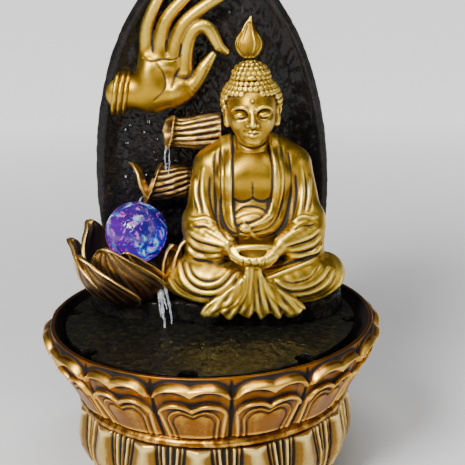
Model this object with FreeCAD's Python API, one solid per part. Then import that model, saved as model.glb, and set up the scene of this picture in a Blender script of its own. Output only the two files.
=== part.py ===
"""Tabletop water fountain: a lotus basin on a lotus plinth, with a lift-off top that carries a
rock deck, an oval backboard, a hand relief, two leaf spouts, a lotus cup with a rolling glass
ball and a seated figure. A small pump stands in the basin and feeds the top through a hose.

Millimetres, +Z up, front towards -Y, origin at the centre of the footprint on the table.
"""

import FreeCAD, Part
import math
import os

from FreeCAD import Vector as V

# ---------------------------------------------------------------- driving dimensions
RIM_Z = 106.0                # top of the basin
RIM_R = 96.7                 # inside radius of the basin's rim
NECK_R = 81.0                # waist between the basin and the plinth
SHOULDER_Z = 56.0            # the basin's shoulder rests on the plinth here
WELL_R = 75.0                # outside radius of the basin's lower well
WELL_Z = 36.0                # underside of the well
WELL_WALL = 3.5
BOWL_PETALS, BOWL_FIRST = 14, -70.2     # petals round the basin; where the first one points
FOOT_Z = 2.5                 # thickness of the foot pads
PLINTH_R = 86.0              # widest radius of the plinth
PLINTH_FOOT_R = 76.0
PLINTH_PETALS, PLINTH_FIRST = 16, -73.0

DECK_R = 89.0
DECK_TOP = RIM_Z - 2.0
DECK_T = 4.0
NOTCH_R = 5.5
NOTCH_ANGLES = (-97.0, -52.0, -7.0, 38.0, 83.0)  # from the front, positive to the right
STEP_H = 12.0                # rock step on the deck
STEP_TOP = DECK_TOP + STEP_H

BOARD_X = 1.6                # backboard: an upright oval, cut off by the deck
BOARD_Z = 177.0
BOARD_A = 75.3               # half width
BOARD_B = 142.5              # half height
BOARD_FRONT = 46.0           # front of its lip
BOARD_FLOOR = 53.0           # front of its dished face
BOARD_SKIN = 3.0
BOARD_BACK = 69.0
COVER_T = 2.0

HOSE_R = 4.0                 # main silicone hose
HOSE_BORE = 2.75
HOSE_X, HOSE_Y = 11.0, 60.5  # where the hose stands on the pump
BRANCH_R = 2.6               # branch hose to the ball jet
BRANCH_BORE = 1.7
BRANCH_Z = 110.5
SPOUT_X, SPOUT_Z = -7.0, 212.0

CUP_X, CUP_Y = -46.0, 16.0   # axis of the lotus cup
BALL_R = 19.3
BALL_Z = 153.8

FIG_X, FIG_Y = 27.0, 4.0     # axis of the seated figure
GAP = 0.3                    # clearance between curved faces that nearly touch

OUT = "parts"
UP = V(0, 0, 1)


# ---------------------------------------------------------------- helpers
def save(name, shape):
    """Writes one sub-part, cleaned to its solids, and prints its volume."""
    solids = shape.Solids
    whole = solids[0] if len(solids) == 1 else Part.makeCompound(solids)
    if not solids or not all(s.isValid() for s in solids):
        print("CHECK", name, "is not a set of valid solids")
    whole.exportStep(os.path.join(OUT, name + ".step"))
    print(f"{name}: {len(solids)} solid(s), {whole.Volume / 1000:.2f} cm3")


def cylinder(radius, start, end):
    """Cylinder between two points."""
    along = end - start
    return Part.makeCylinder(radius, along.Length, start, along)


def box(low, high):
    """Axis-aligned box between two corners."""
    size = high - low
    return Part.makeBox(size.x, size.y, size.z, low)


def ellipsoid(centre, radii):
    """Ellipsoid from a unit sphere, stretched along the axes."""
    matrix = FreeCAD.Matrix()
    matrix.scale(radii)
    ball = Part.makeSphere(1.0).transformGeometry(matrix)
    ball.translate(centre)
    return ball


def limb(points, radii):
    """Chain of balls joined by tapered rods: an arm, a finger, a fold."""
    made = [Part.makeSphere(r, p) for p, r in zip(points, radii)]
    for (p, r), (q, s) in zip(zip(points, radii), zip(points[1:], radii[1:])):
        along = q - p
        if abs(r - s) < 1e-6:
            made.append(Part.makeCylinder(r, along.Length, p, along))
        else:
            made.append(Part.makeCone(r, s, along.Length, p, along))
    return fused(made)


def fused(shapes):
    """One solid from several that overlap."""
    first, rest = shapes[0], shapes[1:]
    return first.multiFuse(rest) if rest else first


def turned(profile, x=0.0, y=0.0):
    """Solid of revolution about an upright axis; profile is (radius, z) points or ready edges."""
    if isinstance(profile[0], tuple):
        points = [V(r, 0, z) for r, z in profile]
        wire = Part.makePolygon(points + points[:1])
    else:
        wire = Part.Wire(profile)
    solid = Part.Face(wire).revolve(V(0, 0, 0), UP, 360)
    solid.translate(V(x, y, 0))
    return solid


def smooth_wall(inner, outer):
    """Closed edges of a wall between two smooth (radius, z) curves that run bottom to top."""
    curves = []
    for points in (outer, inner):
        curve = Part.BSplineCurve()
        curve.interpolate([V(r, 0, z) for r, z in points])
        curves.append(curve.toShape())
    ends = [Part.makeLine(V(outer[k][0], 0, outer[k][1]), V(inner[k][0], 0, inner[k][1])) for k in (0, -1)]
    return Part.__sortEdges__([curves[0], ends[1], curves[1], ends[0]])


def rounded_path(points):
    """Wire of straight runs joined by tangent arcs, each as large as its two runs allow."""
    edges, last = [], points[0]
    for before, corner, after in zip(points, points[1:], points[2:]):
        run_in, run_out = corner - before, after - corner
        turn = run_in.getAngle(run_out)
        trim = 0.45 * min(run_in.Length, run_out.Length)
        u, w = V(run_in).normalize(), V(run_out).normalize()
        start, end = corner - u * trim, corner + w * trim
        radius = trim / math.tan(turn / 2)
        to_centre = (w - u).normalize()
        middle = corner + to_centre * (radius / math.cos(turn / 2) - radius)
        edges.append(Part.LineSegment(last, start).toShape())
        edges.append(Part.Arc(start, middle, end).toShape())
        last = end
        print(f"  hose bend of radius {radius:.1f}")
    edges.append(Part.LineSegment(last, points[-1]).toShape())
    return Part.Wire(edges)


def hose(points, radius, bore):
    """Open-ended hose along a rounded path."""
    path = rounded_path(points)
    start = points[0]
    along = points[1] - points[0]
    made = []
    for r in (radius, bore):
        ring = Part.Wire(Part.makeCircle(r, start, along))
        made.append(path.makePipeShell([ring], True, False))
    return made[0].cut(made[1])


def swept(points, radius):
    """Solid rod along a rounded path, used to cut a channel."""
    ring = Part.Wire(Part.makeCircle(radius, points[0], points[1] - points[0]))
    return rounded_path(points).makePipeShell([ring], True, False)


def lobed(stations, count, first):
    """Solid through lobed rings at (z, radius in the grooves, height of the petals) stations."""
    rings = []
    for z, radius, height in stations:
        points = []
        for k in range(count * 8):
            angle = math.radians(first) + 2 * math.pi * k / (count * 8)
            across = abs((k / 8 + 0.5) % 1.0 - 0.5) * 2
            r = radius + height * (1 - across ** 2) ** 0.6
            points.append(V(r * math.cos(angle), r * math.sin(angle), z))
        curve = Part.BSplineCurve()
        curve.interpolate(Points=points, PeriodicFlag=True)
        rings.append(Part.Wire(curve.toShape()))
    return Part.makeLoft(rings, True, False)


def around(shape, count, x=0.0, y=0.0, first=0.0):
    """Copies of a shape, evenly turned about an upright axis."""
    made = []
    for k in range(count):
        copy = shape.copy()
        copy.rotate(V(x, y, 0), UP, first + 360.0 * k / count)
        made.append(copy)
    return made


def oval(y, inset):
    """Wire of the backboard's oval at depth y, pulled in by inset."""
    a, b = BOARD_A - inset, BOARD_B - inset
    centre = V(BOARD_X, y, BOARD_Z)
    curve = Part.Ellipse(centre + V(0, 0, b), centre + V(a, 0, 0), centre)
    return Part.Wire(curve.toShape())


def oval_block(*stations):
    """Solid between ovals at (y, inset) stations, cut level with the deck."""
    wires = [oval(y, inset) for y, inset in stations]
    block = fused([Part.makeLoft([p, q], True, True) for p, q in zip(wires, wires[1:])])
    above = box(V(-150, 0, DECK_TOP), V(150, 150, 400))
    return block.common(above)


# ---------------------------------------------------------------- basin and plinth
def basin():
    """Lotus basin: a flared bowl over a narrower well, with lugs that carry the deck."""
    bowl = lobed([
        (60, 81.4, 0.0), (66, 84.0, 1.8), (73, 88.0, 3.4), (81, 92.4, 4.2), (90, 96.4, 5.0),
        (97, 99.0, 5.8), (102, 99.6, 4.4), (RIM_Z, 99.6, 0.4),
    ], BOWL_PETALS, BOWL_FIRST)
    well = turned([
        (0, WELL_Z), (WELL_R, WELL_Z), (WELL_R, SHOULDER_Z), (NECK_R, SHOULDER_Z), (83.6, 57.4), (83.6, 60),
        (0, 60),
    ])
    inside_r = WELL_R - WELL_WALL
    inside = turned([
        (0, WELL_Z + 4), (inside_r, WELL_Z + 4), (inside_r, 55), (77, 61), (79.5, 65.5), (84, 74), (89.5, 82),
        (93.5, 90.5), (95.8, 99), (RIM_R, RIM_Z), (RIM_R, RIM_Z + 4), (0, RIM_Z + 4),
    ])
    lug = box(V(84, -5, 93), V(99, 5, DECK_TOP - DECK_T))
    lug = lug.common(turned([(0, 90), (94.5, 90), (96.8, 100), (0, 100)]))
    shell = bowl.fuse(well).cut(inside)
    shell = fused([shell] + around(lug, 4, first=20.0))
    inlet = cylinder(4.0, V(0, 70, 84), V(0, 110, 84))
    return shell.cut(inlet)


def cable_grommet():
    """Rubber bush in the basin's rear wall, with a flange on each side of the wall."""
    body = cylinder(4.0, V(0, 86, 84), V(0, 100, 84))
    outer_flange = cylinder(6.5, V(0, 97.2, 84), V(0, 100, 84))
    inner_flange = cylinder(6.5, V(0, 85.5, 84), V(0, 87.6, 84))
    bore = cylinder(2.6, V(0, 80, 84), V(0, 110, 84))
    bush = fused([body, outer_flange, inner_flange]).cut(bore)
    return bush


def plinth():
    """Lotus skirt that the basin stands in: a thick ring, open underneath."""
    inside = WELL_R + GAP
    skirt = lobed([
        (FOOT_Z, PLINTH_FOOT_R - 1.5, 0.0), (8, PLINTH_FOOT_R - 1.5, 0.0), (11, PLINTH_FOOT_R - 0.8, 1.6),
        (15, 77.0, 3.6), (21, 80.0, 4.0), (30, 82.5, 3.5), (38, PLINTH_R - 2.9, 2.9), (46, 82.4, 1.8),
        (52, 81.4, 0.6), (SHOULDER_Z, NECK_R, 0.0),
    ], PLINTH_PETALS, PLINTH_FIRST)
    inner = turned([(0, 0), (68, 0), (68, WELL_Z - 5), (inside, WELL_Z - 1), (inside, 70), (0, 70)])
    return skirt.cut(inner)


def foot_pads():
    """Four rubber pads under the plinth."""
    pad = Part.makeCylinder(3.6, FOOT_Z, V(72, 0, 0))
    return Part.makeCompound(around(pad, 4, first=45.0))


# ---------------------------------------------------------------- pump
PUMP_FLOOR = WELL_Z + 4.0    # floor of the well
PUMP_LOW = PUMP_FLOOR + 5.0  # underside of the pump's body
PUMP_HIGH = PUMP_LOW + 27.0
PUMP_Y0, PUMP_Y1 = 36.0, 65.0
PUMP_AXIS = V(0, PUMP_Y0 + 13.5, PUMP_LOW + 13.5)
ROTOR_X = HOSE_X - 7.0       # the motor block ends here


def at_axis(x):
    """Point on the pump's shaft axis at x."""
    return V(x, PUMP_AXIS.y, PUMP_AXIS.z)


def pump_housing():
    """Motor block with a rotor well in its face and a sealed chamber for the coil."""
    block = box(V(-24, PUMP_Y0, PUMP_LOW), V(ROTOR_X, PUMP_Y1, PUMP_HIGH))
    upright = [e for e in block.Edges if abs(e.Vertexes[0].Z - e.Vertexes[1].Z) > 5]
    block = block.makeFillet(4.0, upright)
    rotor_well = cylinder(6.0, at_axis(-13), at_axis(ROTOR_X))
    coil_room = cylinder(12.0, at_axis(-20), at_axis(-1)).cut(cylinder(7.2, at_axis(-21), at_axis(0)))
    return block.cut(rotor_well).cut(coil_room)


def pump_coil():
    """Enamelled winding around the rotor well."""
    return cylinder(11.0, at_axis(-12.5), at_axis(-2)).cut(cylinder(8.0, at_axis(-21), at_axis(0)))


def pump_stator():
    """Laminated iron ring behind the winding."""
    return cylinder(11.5, at_axis(-19.5), at_axis(-13)).cut(cylinder(7.6, at_axis(-21), at_axis(0)))


def pump_shaft():
    """Ceramic shaft, held in the bottom of the rotor well."""
    return cylinder(1.0, at_axis(-13), at_axis(ROTOR_X + 11))


def impeller_magnet():
    """Round magnet that turns on the shaft."""
    return cylinder(5.4, at_axis(-12), at_axis(ROTOR_X - 0.5)).cut(cylinder(1.06, at_axis(-20), at_axis(20)))


def impeller_blades():
    """Hub with five straight blades, in the volute."""
    x0, x1 = ROTOR_X - 0.5, ROTOR_X + 8.0
    hub = cylinder(3.0, at_axis(x0), at_axis(x1))
    blade = box(at_axis(x0 + 1.5) + V(0, -0.6, 0), at_axis(x1) + V(0, 0.6, 8.0))
    blades = []
    for k in range(5):
        copy = blade.copy()
        copy.rotate(at_axis(0), V(1, 0, 0), 72.0 * k)
        blades.append(copy)
    return fused([hub] + blades).cut(cylinder(1.06, at_axis(-20), at_axis(30)))


def pump_volute():
    """Round chamber around the blades, with the outlet barb on top."""
    x0, x1 = ROTOR_X, ROTOR_X + 12.0
    block = box(V(x0, PUMP_Y0, PUMP_LOW), V(x1, PUMP_Y1, PUMP_HIGH))
    chamber = cylinder(10.2, at_axis(x0), at_axis(x1 - 2.0))
    eye = cylinder(4.5, at_axis(x0), at_axis(x1 + 1))
    foot = V(HOSE_X, HOSE_Y, PUMP_HIGH)
    barb = fused([
        cylinder(3.6, foot - V(0, 0, 6), foot + V(0, 0, 2.0)),
        cylinder(HOSE_BORE - 0.08, foot, foot + V(0, 0, 11)),
    ])
    throat = cylinder(1.7, foot - V(0, 0, 14), foot + V(0, 0, 12))
    shaft_rib = box(at_axis(x1 - 3) + V(0, -6, -1.2), at_axis(x1 - 1) + V(0, 6, 1.2))
    body = fused([block, barb]).cut(fused([chamber, eye])).cut(throat)
    rib = shaft_rib.cut(cylinder(1.0, at_axis(-20), at_axis(30)))
    return fused([body, rib])


def pump_cover():
    """Inlet cover that pulls off the volute: a cap with slots and a round hole for the dial."""
    x0, x1 = ROTOR_X + 12.2, ROTOR_X + 22.0
    cap = box(V(x0, PUMP_Y0 + 1.0, PUMP_LOW + 0.5), V(x1, PUMP_Y0 + 24.0, PUMP_HIGH - 0.5))
    room = box(V(x0 - 1, PUMP_Y0 + 3.0, PUMP_LOW + 2.5), V(x1 - 2, PUMP_Y0 + 22.0, PUMP_HIGH - 2.5))
    cap = cap.cut(room)
    slots = []
    for k in range(-2, 3):
        z = PUMP_AXIS.z - 8.5
        y = PUMP_AXIS.y - 1.0 + 3.8 * k
        slots.append(box(V(x1 - 3, y - 0.9, z - 2.0), V(x1 + 1, y + 0.9, z + 2.0)))
    dial_hole = cylinder(2.6, V(x1 - 4, PUMP_AXIS.y, PUMP_AXIS.z + 3), V(x1 + 1, PUMP_AXIS.y, PUMP_AXIS.z + 3))
    windows = [box(V(x1 - 3, PUMP_AXIS.y + s * 6.4 - 1.6, PUMP_AXIS.z + 1),
                   V(x1 + 1, PUMP_AXIS.y + s * 6.4 + 1.6, PUMP_AXIS.z + 6)) for s in (-1, 1)]
    return cap.cut(Part.makeCompound(slots + [dial_hole] + windows))


def flow_dial():
    """Small dial on the inlet cover; its flag covers a window to slow the flow."""
    x1 = ROTOR_X + 22.0
    centre = V(x1, PUMP_AXIS.y, PUMP_AXIS.z + 3)
    stem = cylinder(2.5, centre - V(3.0, 0, 0), centre + V(0.3, 0, 0))
    face = cylinder(4.4, centre + V(0.3, 0, 0), centre + V(2.3, 0, 0))
    flag = box(centre + V(0.3, -1.6, 3.0), centre + V(1.6, 1.6, 9.0))
    grip = box(centre + V(2.0, -0.8, -3.6), centre + V(3.6, 0.8, 3.6))
    return fused([stem, face, flag, grip])


def filter_sponge():
    """Foam filter inside the inlet cover."""
    x0 = ROTOR_X + 12.6
    pad = box(V(x0, PUMP_Y0 + 3.0, PUMP_LOW + 2.5), V(x0 + 3.0, PUMP_Y0 + 22.0, PUMP_HIGH - 2.5))
    return pad.cut(cylinder(3.2, at_axis(0), at_axis(60)))


def suction_cups():
    """Four rubber cups that hold the pump to the floor of the well."""
    cups = []
    for x in (-18.0, ROTOR_X + 6.0):
        for y in (PUMP_Y0 + 6, PUMP_Y1 - 6):
            cups.append(turned([(0, PUMP_LOW), (0, PUMP_FLOOR + 1.2), (2.0, PUMP_FLOOR + 1.2), (4.6, PUMP_FLOOR),
                                (5.2, PUMP_FLOOR), (5.2, PUMP_FLOOR + 0.6), (2.6, PUMP_FLOOR + 3.0),
                                (2.6, PUMP_LOW)], x, y))
    return Part.makeCompound(cups)


def pump_gland():
    """Cable gland on the back end of the motor block."""
    start = V(-24, PUMP_AXIS.y, PUMP_HIGH - 6)
    body = fused([cylinder(4.0, start, start - V(2.5, 0, 0)), cylinder(3.0, start, start - V(7, 0, 0))])
    return body.cut(cylinder(1.6, start - V(0.8, 0, 0), start - V(8, 0, 0)))


# ---------------------------------------------------------------- deck and rock step
BRANCH_PATH = [
    V(HOSE_X - 4.9, HOSE_Y, BRANCH_Z), V(CUP_X + 12, HOSE_Y, BRANCH_Z), V(CUP_X + 9, HOSE_Y - 18, BRANCH_Z),
    V(CUP_X + 9, CUP_Y, BRANCH_Z), V(CUP_X + 9, CUP_Y, STEP_TOP + 7),
]


def deck():
    """Round deck with drain notches in its edge and holes for the hose and the lamp lead."""
    disc = Part.makeCylinder(DECK_R, DECK_T, V(-1, -1, DECK_TOP - DECK_T))
    cuts = [Part.makeCylinder(HOSE_R + 0.8, 20, V(HOSE_X, HOSE_Y, DECK_TOP - 10)),
            Part.makeCylinder(3.2, 20, V(CUP_X, CUP_Y, DECK_TOP - 10))]
    for angle in NOTCH_ANGLES:
        a = math.radians(angle)
        x, y = (DECK_R - 2.0) * math.sin(a) - 1, -(DECK_R - 2.0) * math.cos(a) - 1
        cuts.append(Part.makeCylinder(NOTCH_R, 20, V(x, y, DECK_TOP - 10)))
    return disc.cut(Part.makeCompound(cuts))


def step_block():
    """Rock step before its channels: an irregular smooth outline with a straight rear edge."""
    front = [(-79, 34), (-76, 18), (-66, 3), (-46, -5), (-22, -8), (2, -14), (27, -17.5), (55, -15),
             (76, -4), (82, 12), (79, 34)]
    curve = Part.BSplineCurve()
    curve.interpolate([V(x, y, DECK_TOP) for x, y in front])
    rear = BOARD_FLOOR + 1.0
    corners = [V(79, 34, DECK_TOP), V(74, 44, DECK_TOP), V(60, rear, DECK_TOP), V(-60, rear, DECK_TOP),
               V(-74, 44, DECK_TOP), V(-79, 34, DECK_TOP)]
    edges = [curve.toShape()] + [Part.makeLine(p, q) for p, q in zip(corners, corners[1:])]
    return Part.Face(Part.Wire(edges)).extrude(V(0, 0, STEP_H))


def rock_step(mass):
    """Rock step under the figure and the lotus cup, bored for the branch hose and the lamp lead."""
    lead_hole = Part.makeCylinder(3.2, STEP_H + 4, V(CUP_X, CUP_Y, DECK_TOP - 2))
    channel = swept(BRANCH_PATH, BRANCH_R + GAP)
    return step_block().cut(mass).cut(lead_hole).cut(channel)


# ---------------------------------------------------------------- backboard
SCREWS = ((0.0, 128.0), (52.0, 30.0), (-52.0, 30.0), (56.0, -48.0), (-56.0, -48.0))  # from its centre


def board_mass():
    """Dished oval slab before it is hollowed; the reliefs are cut to sit on it."""
    slab = oval_block((BOARD_FRONT, 1.5), (BOARD_FRONT + 1.5, 0), (BOARD_FRONT + 10, 0), (BOARD_BACK, 7))
    dish = oval_block((BOARD_FRONT - 0.01, 4.5), (BOARD_FRONT + 3, 7.5), (BOARD_FLOOR, 17))
    return slab.cut(dish)


def backboard(mass):
    """The slab with a hollow back, screw pillars, and holes for both hoses."""
    floor = BOARD_FLOOR + BOARD_SKIN
    hollow = oval_block((floor, 14), (BOARD_BACK - COVER_T, 14))
    hollow = hollow.common(box(V(-150, 0, DECK_TOP + 3), V(150, 150, 400)))
    recess = oval_block((BOARD_BACK - COVER_T, 10.5), (BOARD_BACK + 1, 10.5))
    recess = recess.common(box(V(-150, 0, DECK_TOP + 4), V(150, 150, 400)))
    pillars, pilots = [], []
    for dx, dz in SCREWS:
        start = V(BOARD_X + dx, floor - 0.5, BOARD_Z + dz)
        end = V(start.x, BOARD_BACK - COVER_T, start.z)
        pillars.append(cylinder(3.5, start, end))
        pilots.append(cylinder(1.3, end - V(0, 8, 0), end + V(0, 5, 0)))
    board = mass.cut(hollow).cut(recess)
    board = fused([board] + pillars).cut(Part.makeCompound(pilots))
    spout_hole = cylinder(HOSE_R + GAP, V(SPOUT_X, BOARD_FLOOR - 3, SPOUT_Z), V(SPOUT_X, floor + 2, SPOUT_Z))
    hose_hole = cylinder(HOSE_R + GAP, V(HOSE_X, HOSE_Y, DECK_TOP - 1), V(HOSE_X, HOSE_Y, DECK_TOP + 8))
    return board.cut(Part.makeCompound([spout_hole, hose_hole])).cut(swept(BRANCH_PATH, BRANCH_R + GAP))


def rear_cover():
    """Flat oval cover screwed over the hollow back."""
    plate = oval_block((BOARD_BACK - COVER_T, 10.8), (BOARD_BACK, 10.8))
    plate = plate.common(box(V(-150, 0, DECK_TOP + 4.3), V(150, 150, 400)))
    holes = [cylinder(1.7, V(BOARD_X + dx, BOARD_BACK - 5, BOARD_Z + dz), V(BOARD_X + dx, BOARD_BACK + 2, BOARD_Z + dz))
             for dx, dz in SCREWS]
    return plate.cut(Part.makeCompound(holes))


def cover_screws():
    """Pan-head screws, one solid each."""
    made = []
    for dx, dz in SCREWS:
        seat = V(BOARD_X + dx, BOARD_BACK, BOARD_Z + dz)
        head = cylinder(3.0, seat, seat + V(0, 1.8, 0))
        shank = cylinder(1.25, seat - V(0, 9, 0), seat)
        slot = box(seat + V(-4, 1.0, -0.4), seat + V(4, 2.5, 0.4))
        made.append(fused([head, shank]).cut(slot))
    return Part.makeCompound(made)


# ---------------------------------------------------------------- reliefs on the backboard
def on_board(x, z, y=BOARD_FLOOR):
    """Point at depth y in front of or in the backboard."""
    return V(x, y, z)


def hand_relief(board):
    """Open right hand: palm, thumb and forefinger closed in a ring, three fingers raised."""
    y = 48.0
    palm = ellipsoid(V(-30, y, 250), V(15.5, 7.5, 21))
    heel = ellipsoid(V(-35, y, 234), V(13.5, 8.0, 12))
    thumb_mound = ellipsoid(V(-22, y - 1, 236), V(14.5, 8.0, 9))
    wrist = limb([V(-37, y, 238), V(-47, y, 236)], [11.0, 11.5])
    wrist = wrist.common(box(V(-50.5, 30, 215), V(0, 60, 280)))
    fingers = [
        ([(-37, 258), (-36, 277), (-30, 291), (-22, 303)], (5.2, 4.6, 4.0, 2.6)),
        ([(-29, 263), (-24, 280), (-12, 294), (1, 304)], (5.2, 4.8, 4.2, 2.7)),
        ([(-20, 262), (-14, 277), (0, 288), (16, 297)], (5.2, 4.8, 4.2, 2.7)),
        ([(-14, 258), (-10, 272), (-3, 278), (3, 275), (8, 264), (12.5, 260.5)], (4.8, 4.4, 4.2, 4.0, 3.2, 1.8)),
        ([(-14, 236), (-7, 243), (-1, 252), (4.5, 259.5)], (6.0, 5.0, 4.2, 2.6)),
    ]
    made = [palm, heel, thumb_mound, wrist]
    for points, radii in fingers:
        made.append(limb([V(x, y, z) for x, z in points], radii))
    hand = fused(made)
    return hand.cut(board)


def hand_bangles(board):
    """Two flat rings round the wrist, cut off where they meet the board."""
    made = []
    for x in (-52.6, -56.8):
        ring = Part.makeTorus(12.2, 2.0, V(x, 48.0, 236.0), V(1, 0, 0.16))
        core = Part.makeCylinder(11.6, 3.6, V(x - 1.8, 48.0, 236.0), V(1, 0, 0))
        made.append(fused([ring, core]).cut(board))
    return Part.makeCompound([s for m in made for s in m.Solids])


def lotus_bud(board):
    """Closed bud above the figure's head."""
    bud = ellipsoid(V(27, 51, 265), V(9.6, 5.5, 8.5))
    tip = Part.makeCone(7.6, 0.6, 14, V(27, 50.5, 268), UP)
    return fused([bud, tip]).cut(board)


# ---------------------------------------------------------------- leaf spouts
def leaf_bag(x0, x1, centre, radii):
    """Solid bag along X with an elliptical section, flat at x0 and rounded at x1."""
    y, z = centre
    ry, rz = radii
    cap = x1 - 16.0
    bow = Part.Edge(Part.Ellipse(V(x1, 0, 0), V(cap, 0, 1), V(cap, 0, 0)), 0, math.pi / 2)
    lines = [Part.makeLine(V(x0, 0, 0), V(x0, 0, 1)), Part.makeLine(V(x0, 0, 1), V(cap, 0, 1)),
             Part.makeLine(V(x1, 0, 0), V(x0, 0, 0))]
    wire = Part.Wire(Part.__sortEdges__([lines[0], lines[1], bow, lines[2]]))
    bag = Part.Face(wire).revolve(V(0, 0, 0), V(1, 0, 0), 360)
    matrix = FreeCAD.Matrix()
    matrix.scale(V(1, ry, rz))
    bag = bag.transformGeometry(matrix)
    bag.translate(V(0, y, z))
    return bag


def rolled_leaf(x0, x1, centre, radii, wall, mouth):
    """Rolled leaf: a thin bag along X, closed at x1, with a slanted mouth at its left end."""
    outer = leaf_bag(x0, x1, centre, radii)
    inner = leaf_bag(x0 - 3, x1 - wall, centre, (radii[0] - wall, radii[1] - wall))
    return outer.cut(inner).cut(mouth)


def mouth_wedge(points, y0=0.0, y1=100.0):
    """Prism along Y that cuts a leaf's slanted mouth; points are (x, z)."""
    corners = [V(x, y0, z) for x, z in points]
    return Part.Face(Part.makePolygon(corners + corners[:1])).extrude(V(0, y1 - y0, 0))


def upper_leaf(board):
    """Upper leaf spout, mouth to the left."""
    cut = mouth_wedge([(-40, 190), (-27.5, 200), (-22, 206), (-16, 226), (-16, 240), (-40, 240)], 0, 44)
    rear_cut = mouth_wedge([(-40, 190), (-28, 201), (-31, 212), (-24, 230), (-24, 240), (-40, 240)], 43.9, 100)
    leaf = rolled_leaf(-34, 8, (42, 212), (14, 11.5), 1.8, cut).cut(rear_cut)
    return leaf.cut(board)


def lower_leaf(board):
    """Lower leaf spout: open on top at its left half, so that the upper stream falls in."""
    cut = mouth_wedge([(-60, 150), (-44.5, 169), (-38, 173), (-29, 194), (-29, 210), (-60, 210)], 0, 42)
    rear_cut = mouth_wedge([(-60, 150), (-45, 170), (-50, 193), (-30, 193), (-30, 210), (-60, 210)], 41.9, 100)
    leaf = rolled_leaf(-53, -10, (41, 181), (13, 11.0), 1.8, cut).cut(rear_cut)
    return leaf.cut(board)


# ---------------------------------------------------------------- hoses
HOSE_PATH = [
    V(HOSE_X, HOSE_Y, PUMP_HIGH + 2.2), V(HOSE_X, HOSE_Y, BRANCH_Z - 8),
]
HOSE_UPPER_PATH = [
    V(HOSE_X, HOSE_Y, BRANCH_Z + 8), V(HOSE_X, HOSE_Y, 134), V(SPOUT_X, HOSE_Y, 184),
    V(SPOUT_X, HOSE_Y, SPOUT_Z), V(SPOUT_X, BOARD_FLOOR - 1.5, SPOUT_Z),
]


def riser_hose():
    """Lower length of the main hose: slips over the pump's barb, ends on the tee."""
    start, end = HOSE_PATH
    return cylinder(HOSE_R, start, end).cut(cylinder(HOSE_BORE, start - V(0, 0, 1), end + V(0, 0, 1)))


def spout_hose():
    """Upper length of the main hose, from the tee to the upper leaf."""
    return hose(HOSE_UPPER_PATH, HOSE_R, HOSE_BORE)


def tee_fitting():
    """Tee between the two lengths, with a barb towards the ball jet."""
    centre = V(HOSE_X, HOSE_Y, BRANCH_Z)
    stem = fused([cylinder(HOSE_R, centre - V(0, 0, 8), centre + V(0, 0, 8)),
                  cylinder(2.0, centre, centre - V(4.9, 0, 0)),
                  cylinder(BRANCH_BORE - 0.05, centre, centre - V(10, 0, 0))])
    bores = fused([cylinder(2.0, centre - V(0, 0, 9), centre + V(0, 0, 9)), cylinder(1.1, centre, centre - V(12, 0, 0))])
    return stem.cut(bores)


def jet_hose():
    """Branch hose from the tee to the jet nozzle in the lotus cup."""
    return hose(BRANCH_PATH, BRANCH_R, BRANCH_BORE)


# ---------------------------------------------------------------- lotus cup, lamp and ball
CUP_FLOOR = STEP_TOP + 10.0


def lotus_cup():
    """Inner bowl of the lotus, with a ring on its floor that the ball rolls on."""
    bowl = turned([
        (0, STEP_TOP), (15, STEP_TOP), (21, STEP_TOP + 4), (26, STEP_TOP + 14), (29, STEP_TOP + 28),
        (27, STEP_TOP + 28), (24, STEP_TOP + 16), (20.5, CUP_FLOOR), (12.5, CUP_FLOOR), (12.5, STEP_TOP + 23.5),
        (10.2, STEP_TOP + 22.6), (10.2, STEP_TOP + 3), (0, STEP_TOP + 3),
    ], CUP_X, CUP_Y)
    ball_room = Part.makeSphere(BALL_R + 0.35, V(CUP_X, CUP_Y, BALL_Z))
    jet_hole = Part.makeCylinder(3.7, 40, V(CUP_X + 9, CUP_Y, STEP_TOP - 1))
    lead_hole = Part.makeCylinder(3.2, 6, V(CUP_X, CUP_Y, STEP_TOP - 1))
    weep_holes = [Part.makeCylinder(1.6, 12, V(CUP_X, CUP_Y, CUP_FLOOR + 3), V(math.cos(a), math.sin(a), 0) * 20)
                  for a in (math.radians(t) for t in (60, 150, 240))]
    spill = box(V(CUP_X + 5, CUP_Y - 40, STEP_TOP + 18), V(CUP_X + 15, CUP_Y - 12, STEP_TOP + 40))
    spill.rotate(V(CUP_X, CUP_Y, 0), UP, 20)
    return bowl.cut(Part.makeCompound([ball_room, jet_hole, lead_hole])).cut(Part.makeCompound(weep_holes)).cut(spill)


def petal_crown(foot, belly, tip, count, first, spread, wall=1.8):
    """Ring of petals: a flared shell with a pointed arch cut between each pair."""
    (r0, z0), (r1, z1), (r2, z2) = foot, belly, tip
    outer = [(r0, z0), (r1, z1), (r2, z2)]
    inner = [(r0 - wall, z0 + 1.0), (r1 - wall, z1 + 0.6), (r2 - wall, z2)]
    shell = turned(smooth_wall(inner, outer), CUP_X, CUP_Y)
    half = math.radians(180.0 / count) * r2 * spread
    low, high = z0 + 0.42 * (z2 - z0), z2 + 1.0
    notch = Part.makePolygon([V(0, -half, high), V(0, 0, low), V(0, half, high), V(0, -half, high)])
    prism = Part.Face(notch).extrude(V(60, 0, 0))
    prism.translate(V(CUP_X, CUP_Y, 0))
    return shell.cut(Part.makeCompound(around(prism, count, CUP_X, CUP_Y, first)))


def outer_petals():
    """Lower ring of lotus petals."""
    return petal_crown((23.6, STEP_TOP + 4), (32.5, STEP_TOP + 16), (38.5, STEP_TOP + 37), 7, 10, 0.9)


def inner_petals():
    """Upper ring of lotus petals, between the lower ones."""
    return petal_crown((29.4, STEP_TOP + 17), (32.6, STEP_TOP + 27), (36.0, STEP_TOP + 49), 7, 36, 0.8)


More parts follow.
